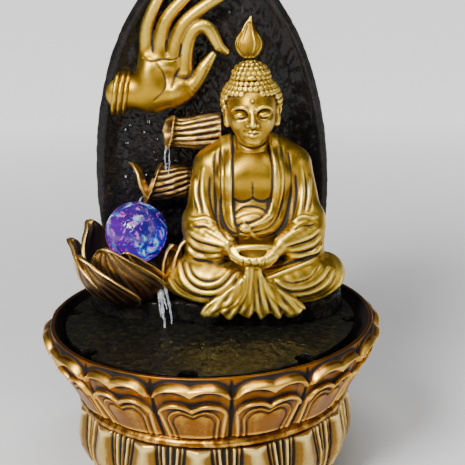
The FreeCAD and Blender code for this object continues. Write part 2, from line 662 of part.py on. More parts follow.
def jet_nozzle():
    """Nozzle beside the lamp that throws water at the ball off its axis, so that it rolls."""
    x = CUP_X + 9
    body = fused([Part.makeCylinder(1.62, 4.5, V(x, CUP_Y, STEP_TOP + 3)),
                  Part.makeCylinder(3.2, 7.5, V(x, CUP_Y, STEP_TOP + 7.2))])
    return body.cut(Part.makeCylinder(1.0, 30, V(x, CUP_Y, STEP_TOP - 1)))


LAMP_X = CUP_X - 3.6


def lamp_housing():
    """Waterproof cup of the lamp, on the floor of the ball's ring."""
    low = STEP_TOP + 3
    outer = Part.makeCylinder(6.2, 10.5, V(LAMP_X, CUP_Y, low))
    inner = Part.makeCylinder(5.0, 12, V(LAMP_X, CUP_Y, low + 2))
    lead = Part.makeCylinder(1.2, 6, V(LAMP_X + 2.5, CUP_Y, low - 2))
    return outer.cut(inner).cut(lead)


def lamp_board():
    """Round circuit board with its three light chips."""
    low = STEP_TOP + 7
    plate = Part.makeCylinder(4.7, 1.2, V(LAMP_X, CUP_Y, low))
    chips = around(box(V(LAMP_X + 1.2, CUP_Y - 0.9, low + 1.0), V(LAMP_X + 3.0, CUP_Y + 0.9, low + 2.0)), 3,
                   LAMP_X, CUP_Y, 30)
    return fused([plate] + chips)


def lamp_seal():
    """Rubber ring between the lamp's housing and its lens."""
    low = STEP_TOP + 13.5
    return Part.makeCylinder(6.2, 0.8, V(LAMP_X, CUP_Y, low)).cut(Part.makeCylinder(5.1, 3, V(LAMP_X, CUP_Y, low - 1)))


def lamp_lens():
    """Clear lens over the lamp."""
    low = STEP_TOP + 14.3
    dome = ellipsoid(V(LAMP_X, CUP_Y, low + 1), V(6.2, 6.2, 2.2)).common(
        Part.makeCylinder(6.2, 6, V(LAMP_X, CUP_Y, low + 1)))
    return fused([Part.makeCylinder(6.2, 1.0, V(LAMP_X, CUP_Y, low)), dome])


def glass_ball():
    """Solid glass ball that rolls on the ring."""
    return Part.makeSphere(BALL_R, V(CUP_X, CUP_Y, BALL_Z))


# ---------------------------------------------------------------- seated figure
def at_figure(dx, y, z):
    """Point relative to the figure's upright axis."""
    return V(FIG_X + dx, y, z)


def seated_figure(keep_out):
    """Cross-legged figure: plain rounded masses with the true outline."""
    made = [
        ellipsoid(at_figure(0, 2, 126), V(52, 28, 13.5)),
        ellipsoid(at_figure(0, 8, 150), V(30, 19, 26)),
        ellipsoid(at_figure(0, 6, 178), V(32.5, 17.5, 27)),
        ellipsoid(at_figure(0, -3.5, 228), V(16.2, 17.0, 19.5)),
        ellipsoid(at_figure(0, 2, 237), V(18.2, 17.5, 14.0)),
        ellipsoid(at_figure(0, 1, 250), V(11.8, 11.8, 10)),
        Part.makeCylinder(9.2, 20, at_figure(0, 1.5, 198)),
    ]
    for side in (-1, 1):
        made.append(ellipsoid(at_figure(side * 38, -3, 126), V(17.0, 21, 12.0)))
        shoulder, elbow = at_figure(side * 24, 8, 191), at_figure(side * 30, 8, 160)
        wrist = at_figure(side * 11, -18, 149)
        made.append(limb([shoulder, elbow, wrist], [11.5, 10.0, 6.5]))
        made.append(limb([at_figure(side * 16.6, 0, 226), at_figure(side * 15.6, -1, 213)], [2.4, 2.6]))
    made.append(limb([at_figure(-9, -20, 147), at_figure(9, -20, 147)], [6.0, 6.0]))
    figure = fused(made)
    seat = Part.makeCone(30, 20, 14, at_figure(0, 4, STEP_TOP), UP)
    figure = fused([figure, seat])
    figure = figure.common(box(V(-100, -100, STEP_TOP), V(150, BOARD_FRONT - 1, 400)))
    fan = [(-31, STEP_TOP + 2), (31, STEP_TOP + 2), (30, STEP_TOP - 3), (0, DECK_TOP + 1.5), (-30, STEP_TOP - 3)]
    corners = [at_figure(dx, -24.5, z) for dx, z in fan]
    drape = Part.Face(Part.makePolygon(corners + corners[:1])).extrude(V(0, 12, 0)).cut(step_block())
    return figure.cut(keep_out).fuse(drape.cut(keep_out))


# ---------------------------------------------------------------- build
def main():
    os.makedirs(OUT, exist_ok=True)
    bush = cable_grommet()
    bowl = basin().cut(bush)
    save("basin", bowl)
    save("cable_grommet", bush)
    save("plinth", plinth())
    save("foot_pads", foot_pads())

    save("pump_housing", pump_housing())
    save("pump_coil", pump_coil())
    save("pump_stator", pump_stator())
    save("pump_shaft", pump_shaft())
    save("pump_volute", pump_volute())
    save("pump_gland", pump_gland())
    save("suction_cups", suction_cups())
    save("impeller_magnet", impeller_magnet())
    save("impeller_blades", impeller_blades())
    save("pump_cover", pump_cover())
    save("filter_sponge", filter_sponge())
    save("flow_dial", flow_dial())

    mass = board_mass()
    board = backboard(mass)
    save("deck", deck())
    save("rock_step", rock_step(mass))
    save("backboard", board)
    save("rear_cover", rear_cover())
    save("cover_screws", cover_screws())
    hand = hand_relief(mass)
    save("hand_relief", hand)
    save("hand_bangles", hand_bangles(mass).cut(hand))
    save("lotus_bud", lotus_bud(mass))

    tee = tee_fitting()
    main_hose = spout_hose()
    save("upper_leaf", upper_leaf(mass))
    save("lower_leaf", lower_leaf(mass))
    save("riser_hose", riser_hose())
    save("spout_hose", main_hose)
    save("tee_fitting", tee)
    save("jet_hose", jet_hose())

    cup, outer, inner = lotus_cup(), outer_petals().cut(mass), inner_petals().cut(mass)
    save("lotus_cup", cup)
    save("outer_petals", outer)
    save("inner_petals", inner)
    save("jet_nozzle", jet_nozzle())
    save("lamp_housing", lamp_housing())
    save("lamp_board", lamp_board())
    save("lamp_seal", lamp_seal())
    save("lamp_lens", lamp_lens())
    save("glass_ball", glass_ball())

    keep_out = turned([(0, STEP_TOP), (25, STEP_TOP + 3), (34.5, STEP_TOP + 16), (40, STEP_TOP + 38),
                       (40, STEP_TOP + 60), (0, STEP_TOP + 60)], CUP_X, CUP_Y)
    save("seated_figure", seated_figure(keep_out))


main()
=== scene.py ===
# %% [markdown]
# # A tabletop lotus fountain
#
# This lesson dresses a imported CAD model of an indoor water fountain. The real thing is cast in
# resin, painted like old gold and bronze, and stands about 32 cm high: a lotus bowl on a lotus
# plinth, a black rock deck with an oval backboard, two leaf spouts, a glowing ball in a lotus cup
# and a seated figure. The CAD model comes first, because every new surface is placed inside it.

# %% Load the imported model
import math
import bmesh
import bpy
import numpy as np
from mathutils import Matrix, Vector


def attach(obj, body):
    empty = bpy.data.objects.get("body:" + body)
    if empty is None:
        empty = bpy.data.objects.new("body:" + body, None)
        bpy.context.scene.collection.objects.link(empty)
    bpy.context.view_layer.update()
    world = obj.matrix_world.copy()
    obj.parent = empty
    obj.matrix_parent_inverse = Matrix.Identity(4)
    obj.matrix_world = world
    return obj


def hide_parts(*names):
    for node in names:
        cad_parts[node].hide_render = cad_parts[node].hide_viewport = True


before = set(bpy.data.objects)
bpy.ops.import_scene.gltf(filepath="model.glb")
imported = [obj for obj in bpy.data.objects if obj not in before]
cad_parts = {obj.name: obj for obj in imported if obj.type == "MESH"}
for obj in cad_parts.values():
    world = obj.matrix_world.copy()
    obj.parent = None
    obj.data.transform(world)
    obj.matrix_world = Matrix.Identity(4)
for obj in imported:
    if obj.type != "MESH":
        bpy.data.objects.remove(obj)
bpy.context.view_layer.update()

TAU = 2 * math.pi
MM = 0.001

# %% [markdown]
# ## Small tools for shaping
#
# Cast resin has soft steps and grooves, so most shapes below are height functions: a smooth step
# for the side of a petal, a bell curve for a ridge, and a soft minimum where two outlines meet in a
# rounded corner. Sampling them on whole numpy arrays keeps each shape to a few lines.

# %% Steps, ridges and soft corners
def smooth_step(low, high, value):
    """0 below low, 1 above high, and 3t^2 - 2t^3 between."""
    t = np.clip((value - low) / (high - low), 0.0, 1.0)
    return t * t * (3 - 2 * t)


def ridge(value, centre, width):
    """Bell curve exp(-((value - centre) / width)^2)."""
    return np.exp(-((value - centre) / width) ** 2)


def soft_min(a, b, k):
    """Smaller of a and b, rounded over a distance k: mix(b, a, h) - k h (1 - h)."""
    h = np.clip(0.5 + 0.5 * (b - a) / k, 0.0, 1.0)
    return b + (a - b) * h - k * h * (1 - h)


def lattice_noise(x, y, z, size, seed):
    """Value noise in -1..1: random numbers at lattice corners, blended with smooth weights."""
    table = np.random.default_rng(seed).uniform(-1, 1, (32, 32, 32)).astype(np.float32)
    base, weight = [], []
    for c in (x, y, z):
        whole = np.floor(np.asarray(c, float) / size)
        t = np.asarray(c, float) / size - whole
        base.append(whole.astype(int) % 32)
        weight.append(t * t * (3 - 2 * t))
    total = 0.0
    for i in (0, 1):
        for j in (0, 1):
            for k in (0, 1):
                corner = table[(base[0] + i) % 32, (base[1] + j) % 32, (base[2] + k) % 32]
                wx = weight[0] if i else 1 - weight[0]
                wy = weight[1] if j else 1 - weight[1]
                wz = weight[2] if k else 1 - weight[2]
                total = total + corner * wx * wy * wz
    return total


def rough(x, y, z, size, seed, octaves=3):
    """Layers of lattice noise, each half as large and half as strong as the last."""
    return sum(lattice_noise(x, y, z, size / 2 ** k, seed + k) / 2 ** k for k in range(octaves))

# %% [markdown]
# ## From arrays to meshes
#
# A surface is a grid of points, (rows, columns, 3), in millimetres. `build` joins them into quads,
# welds poles and seams, turns the faces outward and stores one number per point, `relief`: how far
# the point stands above (+) or below (-) its surroundings. The materials read `relief` to darken the
# hollows and lighten the ridges: partly wiped old-gold paint, partly painted shade and painted highlight.

# %% Grid of points to a closed mesh
def grid_faces(rows, columns, wrap_rows, wrap_columns):
    """Quads of a grid; wrapping joins the last row or column to the first."""
    index = np.arange(rows * columns).reshape(rows, columns)
    down = np.roll(index, -1, 0)
    a, d = (index, down) if wrap_rows else (index[:-1], down[:-1])
    b, c = np.roll(a, -1, 1), np.roll(d, -1, 1)
    if not wrap_columns:
        a, b, c, d = (m[:, :-1] for m in (a, b, c, d))
    return np.stack([a, b, c, d], -1).reshape(-1, 4)


def blurred(values, reach, wrap_columns):
    """Box blur of a grid of numbers, reach cells each way."""
    for axis in (0, 1):
        mode = "wrap" if axis == 1 and wrap_columns else "edge"
        pad = [(0, 0), (0, 0)]
        pad[axis] = (reach + 1, reach)
        total = np.cumsum(np.pad(values, pad, mode=mode), axis)
        take = [slice(None), slice(None)]
        take[axis] = slice(2 * reach + 1, None)
        give = [slice(None), slice(None)]
        give[axis] = slice(None, -(2 * reach + 1))
        values = (total[tuple(take)] - total[tuple(give)]) / (2 * reach + 1)
    return values


def build(name, points, faces, body, relief=None, replaces=(), weld=1e-5):
    """Mesh object from points in millimetres and quads, riding on a CAD body."""
    mesh = bpy.data.meshes.new(name)
    points = np.asarray(points, float).reshape(-1, 3) * MM
    mesh.vertices.add(len(points))
    mesh.vertices.foreach_set("co", points.ravel())
    mesh.loops.add(faces.size)
    mesh.loops.foreach_set("vertex_index", faces.ravel().astype(np.int32))
    mesh.polygons.add(len(faces))
    mesh.polygons.foreach_set("loop_start", np.arange(0, faces.size, faces.shape[1], dtype=np.int32))
    mesh.update(calc_edges=True)
    if relief is not None:
        layer = mesh.attributes.new("relief", "FLOAT", "POINT")
        layer.data.foreach_set("value", np.asarray(relief, np.float32).ravel())
    shape = bmesh.new()
    shape.from_mesh(mesh)
    if weld:
        bmesh.ops.remove_doubles(shape, verts=shape.verts, dist=weld)
        bmesh.ops.dissolve_degenerate(shape, edges=shape.edges, dist=1e-7)
    if shape.calc_volume(signed=True) < 0:
        bmesh.ops.reverse_faces(shape, faces=shape.faces)
    for face in shape.faces:
        face.smooth = True
    open_edges = sum(1 for e in shape.edges if len(e.link_faces) < 2)
    shape.to_mesh(mesh)
    shape.free()
    piece = bpy.data.objects.new(name, mesh)
    bpy.context.scene.collection.objects.link(piece)
    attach(piece, body)
    if replaces:
        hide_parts(*replaces)
    print(f"{name}: {len(mesh.polygons)} faces, {open_edges} open edges")
    return piece


def grid_piece(name, points, body, relief=None, replaces=(), wrap_rows=False, wrap_columns=True):
    """Piece from a grid of points, (rows, columns, 3)."""
    rows, columns = points.shape[:2]
    faces = grid_faces(rows, columns, wrap_rows, wrap_columns)
    return build(name, points, faces, body, relief, replaces)

# %% [markdown]
# ## Old gold, bronze and copper
#
# All the painted resin shares one effect: a dark colour in the hollows, partly paint left there and
# partly painted shade, a metallic body colour, and a pale colour on the ridges, partly a rub and partly
# painted highlight. It is a node group, so each material only chooses its three colours.
# The group reads object coordinates for the speckle and the `relief` number for hollows and ridges.

# %% Node helpers and the aged paint and shade group
def node(tree, kind, **settings):
    """New node with its plain settings."""
    made = tree.nodes.new(kind)
    for key, value in settings.items():
        setattr(made, key, value)
    return made


def noise_node(tree, where, scale, detail=3.0, roughness=0.5, distortion=0.0):
    """Noise texture on a vector output."""
    made = node(tree, "ShaderNodeTexNoise")
    made.inputs["Scale"].default_value = scale
    made.inputs["Detail"].default_value = detail
    made.inputs["Roughness"].default_value = roughness
    made.inputs["Distortion"].default_value = distortion
    tree.links.new(where, made.inputs["Vector"])
    return made.outputs["Fac"]


def remap(tree, value, low, high, to_low=0.0, to_high=1.0):
    """Value stretched from low..high to to_low..to_high and clamped."""
    made = node(tree, "ShaderNodeMapRange", clamp=True)
    for key, number in (("From Min", low), ("From Max", high), ("To Min", to_low), ("To Max", to_high)):
        made.inputs[key].default_value = number
    tree.links.new(value, made.inputs["Value"])
    return made.outputs["Result"]


def maths(tree, operation, a, b):
    """Math node; b may be a socket or a number."""
    made = node(tree, "ShaderNodeMath", operation=operation)
    for socket, value in zip(made.inputs, (a, b)):
        if isinstance(value, (int, float)):
            socket.default_value = value
        else:
            tree.links.new(value, socket)
    return made.outputs[0]


def mix_colour(tree, factor, a, b):
    """Colour a where factor is 0 and b where it is 1."""
    made = node(tree, "ShaderNodeMix", data_type="RGBA")
    for socket, value in ((made.inputs[0], factor), (made.inputs[6], a), (made.inputs[7], b)):
        if isinstance(value, (int, float)):
            socket.default_value = value
        elif isinstance(value, tuple):
            socket.default_value = (*value, 1.0)
        else:
            tree.links.new(value, socket)
    return made.outputs[2]


def new_group(name, inputs, outputs):
    """Empty shader node group with named sockets; returns its tree, inputs and outputs."""
    tree = bpy.data.node_groups.new(name, "ShaderNodeTree")
    for label, kind, value in inputs:
        socket = tree.interface.new_socket(label, in_out="INPUT", socket_type=kind)
        socket.default_value = value
    for label, kind in outputs:
        tree.interface.new_socket(label, in_out="OUTPUT", socket_type=kind)
    return tree, node(tree, "NodeGroupInput").outputs, node(tree, "NodeGroupOutput").inputs


def aged_paint_and_shade_group():
    """Colour, roughness, metal and height of metallic paint; the hollow colour is undercoat and painted shade, the
    ridge colour a rub and painted highlight.
    """
    tree, given, out = new_group("aged paint and shade", [
        ("Hollow", "NodeSocketColor", (0.02, 0.01, 0.005, 1)), ("Body", "NodeSocketColor",
                                                                (0.5, 0.3, 0.1, 1)),
        ("Ridge", "NodeSocketColor", (0.9, 0.7, 0.4, 1)), ("Relief", "NodeSocketFloat", 0.0),
        ("Speckle", "NodeSocketFloat", 0.35), ("Tone", "NodeSocketFloat", 0.3),
    ], [("Colour", "NodeSocketColor"), ("Roughness", "NodeSocketFloat"), ("Metal", "NodeSocketFloat"),
        ("Height", "NodeSocketFloat")])
    where = node(tree, "ShaderNodeTexCoord").outputs["Object"]
    fine = noise_node(tree, where, 900.0, 4.0, 0.6)
    patch = noise_node(tree, where, 70.0, 3.0, 0.55)
    grit = maths(tree, "MULTIPLY", maths(tree, "SUBTRACT", fine, 0.5), given["Speckle"])
    drift = maths(tree, "MULTIPLY", maths(tree, "SUBTRACT", patch, 0.5), given["Tone"])
    level = maths(tree, "ADD", maths(tree, "ADD", given["Relief"], grit), drift)
    # The hollow colour is partly dark undercoat and partly painted shade; the ridge colour is partly a rub and partly
    # painted highlight.
    hollow = remap(tree, level, -0.06, -0.62)
    raised = remap(tree, level, 0.10, 0.75)
    colour = mix_colour(tree, raised, given["Body"], given["Ridge"])
    tree.links.new(mix_colour(tree, hollow, colour, given["Hollow"]), out["Colour"])
    dull = maths(tree, "ADD", remap(tree, hollow, 0, 1, 0.0, 0.42), remap(tree, patch, 0.3, 0.7, 0.0, 0.12))
    tree.links.new(maths(tree, "ADD", dull, 0.31), out["Roughness"])
    tree.links.new(remap(tree, hollow, 0.0, 1.0, 1.0, 0.25), out["Metal"])
    tree.links.new(fine, out["Height"])
    return tree


AGED_PAINT_AND_SHADE = aged_paint_and_shade_group()


def principled(name):
    """New material with its Principled shader."""
    material = bpy.data.materials.new(name)
    material.use_nodes = True
    return material, material.node_tree, material.node_tree.nodes["Principled BSDF"]


def add_bump(tree, shader, height, strength, distance):
    """Bump from a height output to the shader's normal."""
    made = node(tree, "ShaderNodeBump")
    made.inputs["Strength"].default_value = strength
    made.inputs["Distance"].default_value = distance
    tree.links.new(height, made.inputs["Height"])
    tree.links.new(made.outputs["Normal"], shader.inputs["Normal"])


def aged_paint_and_shade(name, hollow, body, rub_and_highlight, speckle=0.35, tone=0.3, grain=0.25, relief_gain=1.0):
    """Material of metallic paint in three colours, with painted shade in the hollows and painted highlight on the
    ridges beside the paint's own wash and rub.
    """
    material, tree, shader = principled(name)
    relief = node(tree, "ShaderNodeAttribute", attribute_name="relief").outputs["Fac"]
    group = node(tree, "ShaderNodeGroup", node_tree=AGED_PAINT_AND_SHADE)
    for label, colour in (("Hollow", hollow), ("Body", body), ("Ridge", rub_and_highlight)):
        group.inputs[label].default_value = (*colour, 1)
    group.inputs["Speckle"].default_value = speckle
    group.inputs["Tone"].default_value = tone
    tree.links.new(maths(tree, "MULTIPLY", relief, relief_gain), group.inputs["Relief"])
    tree.links.new(group.outputs["Colour"], shader.inputs["Base Color"])
    tree.links.new(group.outputs["Roughness"], shader.inputs["Roughness"])
    tree.links.new(group.outputs["Metal"], shader.inputs["Metallic"])
    add_bump(tree, shader, group.outputs["Height"], grain, 0.0003)
    return material


# Three colours each: hollow (wash and painted shade), body, and ridge (rub and painted highlight).
FIGURE_GOLD = aged_paint_and_shade("figure gold", (0.014, 0.006, 0.001), (0.44, 0.25, 0.016), (1.0, 0.74, 0.13))
BOWL_COPPER = aged_paint_and_shade("bowl copper gold", (0.006, 0.002, 0.001), (0.24, 0.088, 0.006),
                         (0.88, 0.50, 0.08),
                         speckle=0.5, tone=0.5)
PLINTH_GOLD = aged_paint_and_shade("plinth pale gold", (0.004, 0.002, 0.001), (0.27, 0.13, 0.018), (0.95, 0.70, 0.24),
                         speckle=0.35, tone=0.8, grain=0.15)
LEAF_BRONZE = aged_paint_and_shade("leaf bronze", (0.010, 0.005, 0.003), (0.12, 0.060, 0.018), (0.80, 0.52, 0.15),
                         speckle=0.6, tone=0.5)

# %% [markdown]
# ## Wet rock
#
# The backboard, step and deck are black resin with a bark-like texture, always wet. A dark base, a
# clear coat and a fine bump give small sharp glints; a second colour adds moss on the deck.

# %% Wet rock materials
def wet_rock(name, dark, light, moss_scale, bump_scale, coat):
    """Dark, clear-coated rock in two blended colours."""
    material, tree, shader = principled(name)
    where = node(tree, "ShaderNodeTexCoord").outputs["Object"]
    patch = noise_node(tree, where, moss_scale, 5.0, 0.65)
    fine = noise_node(tree, where, bump_scale, 6.0, 0.7, 0.4)
    relief = node(tree, "ShaderNodeAttribute", attribute_name="relief").outputs["Fac"]
    blend = maths(tree, "ADD", remap(tree, patch, 0.46, 0.66), remap(tree, relief, 0.2, 1.2, 0.0, 0.5))
    tree.links.new(mix_colour(tree, blend, dark, light), shader.inputs["Base Color"])
    tree.links.new(remap(tree, fine, 0.3, 0.7, 0.28, 0.6), shader.inputs["Roughness"])
    shader.inputs["Specular IOR Level"].default_value = 0.16
    shader.inputs["Coat Weight"].default_value = coat
    shader.inputs["Coat Roughness"].default_value = 0.10
    add_bump(tree, shader, fine, 1.0, 0.0022)
    return material


BARK_BLACK = wet_rock("wet bark black", (0.0015, 0.001, 0.0009), (0.010, 0.005, 0.004), 120.0, 420.0, 0.30)
DECK_MOSS = wet_rock("wet mossy deck", (0.0010, 0.0009, 0.0005), (0.018, 0.016, 0.006), 260.0, 600.0, 0.26)
STEP_ROCK = wet_rock("wet step rock", (0.002, 0.0014, 0.001), (0.014, 0.010, 0.005), 80.0, 300.0, 0.12)

# %% [markdown]
# ## The lotus bowl
#
# The bowl is one casting: a bead at the waist, a flared wall with a ring of petals, a thin rim, and
# a plain inside. Each petal is heart-topped, so its outline is the soft minimum of a side and a
# notched top edge. Such outlines, one inside another, carry a rolled lip, a second lip and an
# engraved line. The whole wall is one height function over angle and height, wrapped round the axis.

# %% Petal outlines and the bowl's wall
BOWL_PETALS = 14
BOWL_EDGE = math.radians(6.9)          # angle from the front where two petals meet
PLINTH_PETALS = 16
PLINTH_EDGE = math.radians(5.7)


def top_edge(across, half, top, notch):
    """Heart-shaped top line: flat lobes, a narrow notch in the middle and round shoulders."""
    bent = np.abs(across)
    return top - notch * np.exp(-(bent / 0.20) ** 1.25) - 0.20 * (bent / half) ** 4.5


def heart(across, up, half, base_half, top, notch, pitch, wall):
    """Distance in mm inside a heart-topped petal: soft_min(side, top edge).

    across runs -1..1 over the pitch and up 0..1 over the wall's length; the side narrows from half
    to base_half near the foot.
    """
    reach = base_half + (half - base_half) * smooth_step(0.0, 0.6, up)
    side = (reach - np.abs(across)) * pitch / 2
    return soft_min(side, (top_edge(across, half, top, notch) - up) * wall, 3.0)


def step_up(inside, width=0.8):
    """Soft step from outside to inside an outline."""
    return smooth_step(-0.2, width, inside)


def band(across, up, half, upper, lower, pitch, wall, soft_top):
    """1 on a curled lip between two heart lines, each (top, notch), with a crisp lower edge."""
    above = (top_edge(across, half, *upper) - up) * wall
    below = (up - top_edge(across, half, *lower)) * wall
    side = (half - np.abs(across)) * pitch / 2
    return step_up(above, soft_top) * step_up(below, 1.1) * smooth_step(-0.3, 2.2, side)


def bowl_petal_height(across, up):
    """Height of the bowl's petals above the plain wall, in mm."""
    pitch, wall = TAU * 92 / BOWL_PETALS, 48.0
    tall = heart(across, up, 1.0, 0.985, 0.99, 0.03, pitch, wall)
    middle = heart(across, up, 0.93, 0.84, 0.69, 0.10, pitch, wall)
    line = heart(across, up, 0.74, 0.64, 0.555, 0.09, pitch, wall)
    inner = heart(across, up, 0.62, 0.50, 0.475, 0.08, pitch, wall)
    height = 1.3 * step_up(tall, 1.2)
    height += 4.4 * band(across, up, 1.0, (0.985, 0.02), (0.875, 0.10), pitch, wall, 4.6)
    height += 0.8 * step_up(middle, 1.0)
    height += 2.3 * band(across, up, 0.93, (0.69, 0.10), (0.60, 0.10), pitch, wall, 1.6)
    height += 0.7 * ridge(middle, 1.1, 0.8) - 0.5 * ridge(middle, 2.8, 0.7)
    height += 0.7 * ridge(line, 0.9, 0.8) - 0.8 * ridge(line, -0.4, 0.5)
    height += 0.5 * step_up(inner, 1.0) - 0.7 * ridge(inner, -0.4, 0.5) + 0.5 * smooth_step(0.0, 7.0, inner)
    height -= 1.1 * ridge((1 - np.abs(across)) * pitch / 2, 0.0, 0.6)
    return height * smooth_step(0.0, 0.05, up) * smooth_step(1.0, 0.965, up)


def around_axis(radius, angle, z):
    """Points of a surface of radius(row, column) about the upright axis; angle 0 is the front."""
    return np.stack([radius * np.sin(angle), -radius * np.cos(angle), z + 0 * angle], -1)


def petal_phase(angle, count, edge):
    """Position across the petal that an angle falls on, -1..1."""
    turn = (angle - edge) * count / TAU
    return 2 * (turn - np.floor(turn)) - 1


def bowl_points():
    """Rows from the waist up the outside, over the rim, down the inside and across the floor."""
    columns = BOWL_PETALS * 56
    angle = (np.arange(columns) / columns * TAU)[None, :]
    wall_z = np.array([62, 66, 73, 81, 90, 97, 102, 105.2])
    wall_r = np.array([81.6, 83.6, 87.4, 91.6, 95.4, 98.0, 99.0, 99.2])
    up = np.linspace(0, 1, 104)
    z = 62 + (105.2 - 62) * up
    radius = np.interp(z, wall_z, wall_r)
    across = petal_phase(angle, BOWL_PETALS, BOWL_EDGE)
    height = bowl_petal_height(across, up[:, None])
    grain = rough(radius[:, None] * np.sin(angle), radius[:, None] * np.cos(angle), z[:, None], 6.0, 3)
    outer_r = radius[:, None] + height + 0.12 * grain
    bead = np.array([[75.0, 50.0], [75.0, 56.0], [80.8, 56.1], [82.6, 56.6], [84.4, 57.6], [84.9, 59.0],
                     [84.4, 60.4],
                     [83.0, 61.4]])
    bead_r = bead[:, :1] + 0.22 * rough(80 * np.sin(angle), 80 * np.cos(angle), bead[:, 1:], 3.0, 9)
    lip = np.array([[98.9, 105.8], [98.3, 106.0], [97.3, 106.0], [96.8, 105.7], [96.6, 105.0]])
    inside = np.array([[96.4, 103], [95.8, 99], [93.5, 90.5], [89.5, 82], [84, 74], [79.5, 65.5], [77, 61],
                       [71.5, 55],
                       [71.5, 44], [70.5, 40.3], [66, 40], [40, 40], [0, 40]])
    under = np.array([[0, 36], [40, 36], [74, 36], [75, 37]])
    blank = np.zeros((1, columns))
    rings = [under[:, :1] + blank, bead_r + blank, outer_r, lip[:, :1] + blank, inside[:, :1] + blank]
    heights = [under[:, 1], bead[:, 1], z, lip[:, 1], inside[:, 1]]
    radius = np.concatenate(rings)
    z = np.concatenate(heights)[:, None]
    start = len(under) + len(bead)
    relief = np.zeros_like(radius)
    relief[start:start + len(up)] = (height - blurred(height, 7, True)) * 0.85
    relief[len(under):start] = 0.25 + (bead_r - bead[:, :1]) * 2.4
    relief[start + len(up) + 3:] = -0.9
    return around_axis(radius, angle, z), relief


points, relief = bowl_points()
bowl = grid_piece("lotus_bowl", points, "basin_base", relief, ["basin"])
bowl.data.materials.append(BOWL_COPPER)

# %% [markdown]
# ## The lotus plinth
#
# The plinth is the same flower upside down: petals hang from the waist and turn out above a plain
# foot ring. It uses the same outline function with `up` counted downwards, and double ridges
# because these petals are drawn with two raised lines.

# %% Plinth
def plinth_petal_height(across, down):
    """Height of the plinth's petals above the plain skirt, in mm."""
    pitch, wall = TAU * 84 / PLINTH_PETALS, 44.0
    outer = heart(across, down, 0.90, 0.80, 0.985, 0.07, pitch, wall)
    panel = heart(across, down, 0.60, 0.46, 0.86, 0.09, pitch, wall)
    core = heart(across, down, 0.36, 0.28, 0.62, 0.07, pitch, wall)
    height = 1.0 * step_up(outer, 1.0) + 1.3 * ridge(outer, 1.0, 0.8) - 0.8 * ridge(outer, 2.7, 0.6)
    height += 1.2 * step_up(panel, 1.4) + 2.0 * smooth_step(0.0, 8.5, panel) + 0.9 * ridge(panel, -1.6, 0.6)
    height -= 0.7 * ridge(panel, -0.4, 0.5) + 0.3 * ridge(core, 0.0, 0.5) * smooth_step(0.35, 0.5, down)
    height += 1.6 * ridge((1 - np.abs(across)) * pitch / 2, 0.0, 0.7) * smooth_step(0.9, 0.6, down)
    return height * smooth_step(0.0, 0.04, down) * smooth_step(1.0, 0.97, down)


def plinth_points():
    """Rows from the top of the skirt down the outside, round the foot and up the inside."""
    columns = PLINTH_PETALS * 48
    angle = (np.arange(columns) / columns * TAU)[None, :]
    down = np.linspace(0, 1, 96)
    z = 55.8 + (12.0 - 55.8) * down
    radius = np.interp(-z, [-56, -52, -46, -38, -30, -21, -15, -12],
                       [80.6, 81.0, 81.9, 82.9, 82.2, 79.6, 76.8, 75.2])
    height = plinth_petal_height(petal_phase(angle, PLINTH_PETALS, PLINTH_EDGE), down[:, None])
    foot = np.array([[75.0, 11.0], [75.4, 10.2], [76.0, 9.4], [76.0, 3.6], [75.2, 2.6], [69, 2.5],
                     [68, 3.4],
                     [68, 31], [75.2, 35], [75.3, 50], [75.3, 55.8]])
    columns_blank = np.zeros((1, columns))
    radius = np.concatenate([radius[:, None] + height, foot[:, :1] + columns_blank])
    relief = np.zeros_like(radius)
    relief[:len(down)] = (height - blurred(height, 9, True)) * 0.95 - 0.12
    relief[len(down) + 5:] = -0.8
    return around_axis(radius, angle, np.concatenate([z, foot[:, 1]])[:, None]), relief


points, relief = plinth_points()
plinth = grid_piece("lotus_plinth", points, "basin_base", relief, ["plinth"], wrap_rows=True)
plinth.data.materials.append(PLINTH_GOLD)

# %% [markdown]
# ## Deck
#
# A round tray that lies inside the bowl's rim, with five half-round drain notches and a brushed,
# mossy top. Its outline is a circle bitten by five small ones, so the surface is laid out in polar
# rings that follow that outline.

# %% Deck
DECK_NOTCHES = (-97, -52, -7, 38, 83)         # degrees from the front, positive to the right


def bitten_circle(angle, radius, bite_radius, bite_centre):
    """Outline radius of a circle with round bites: c cos d - sqrt(b^2 - c^2 sin^2 d) inside a bite."""
    outline = radius + 0 * angle
    for degrees in DECK_NOTCHES:
        off = angle - math.radians(degrees)
        inside = bite_radius ** 2 - (bite_centre * np.sin(off)) ** 2
        bite = bite_centre * np.cos(off) - np.sqrt(np.maximum(inside, 0))
        outline = np.where((inside > 0) & (np.cos(off) > 0), np.minimum(outline, bite), outline)
    return outline


def deck_points():
    """Rings from the middle of the top out to the edge, down, and back in underneath."""
    columns = 960
    angle = (np.arange(columns) / columns * TAU)[None, :]
    outline = bitten_circle(angle, 89.0, 5.5, 87.0)
    part = np.linspace(0, 1, 72)[:, None]
    top_r = np.minimum(part * 89.0, outline - 1.2 * (1 - part))
    x, y = top_r * np.sin(angle) - 1, -top_r * np.cos(angle) - 1
    bumps = 0.4 * rough(x, y, 0 * x, 9.0, 21) + 0.30 * rough(x, y, 0 * x, 2.4, 22)
    top_z = 103.8 + bumps * smooth_step(1.0, 0.97, part)
    edge = np.array([[-0.0, 103.5], [-0.0, 100.2], [-1.0, 100.0], [-40, 100.0], [-89, 100.0]])
    radius = np.concatenate([top_r, np.maximum(outline + edge[:, :1], 0)])
    z = np.concatenate([top_z, edge[:, 1:] + 0 * angle])
    relief = np.concatenate([bumps, 0 * edge[:, 1:] + 0 * angle])
    points = around_axis(radius, angle, z)
    points[..., :2] -= 1.0
    return points, relief


points, relief = deck_points()
deck = grid_piece("mossy_deck", points, "upper_assembly", relief, ["deck"])
deck.data.materials.append(DECK_MOSS)

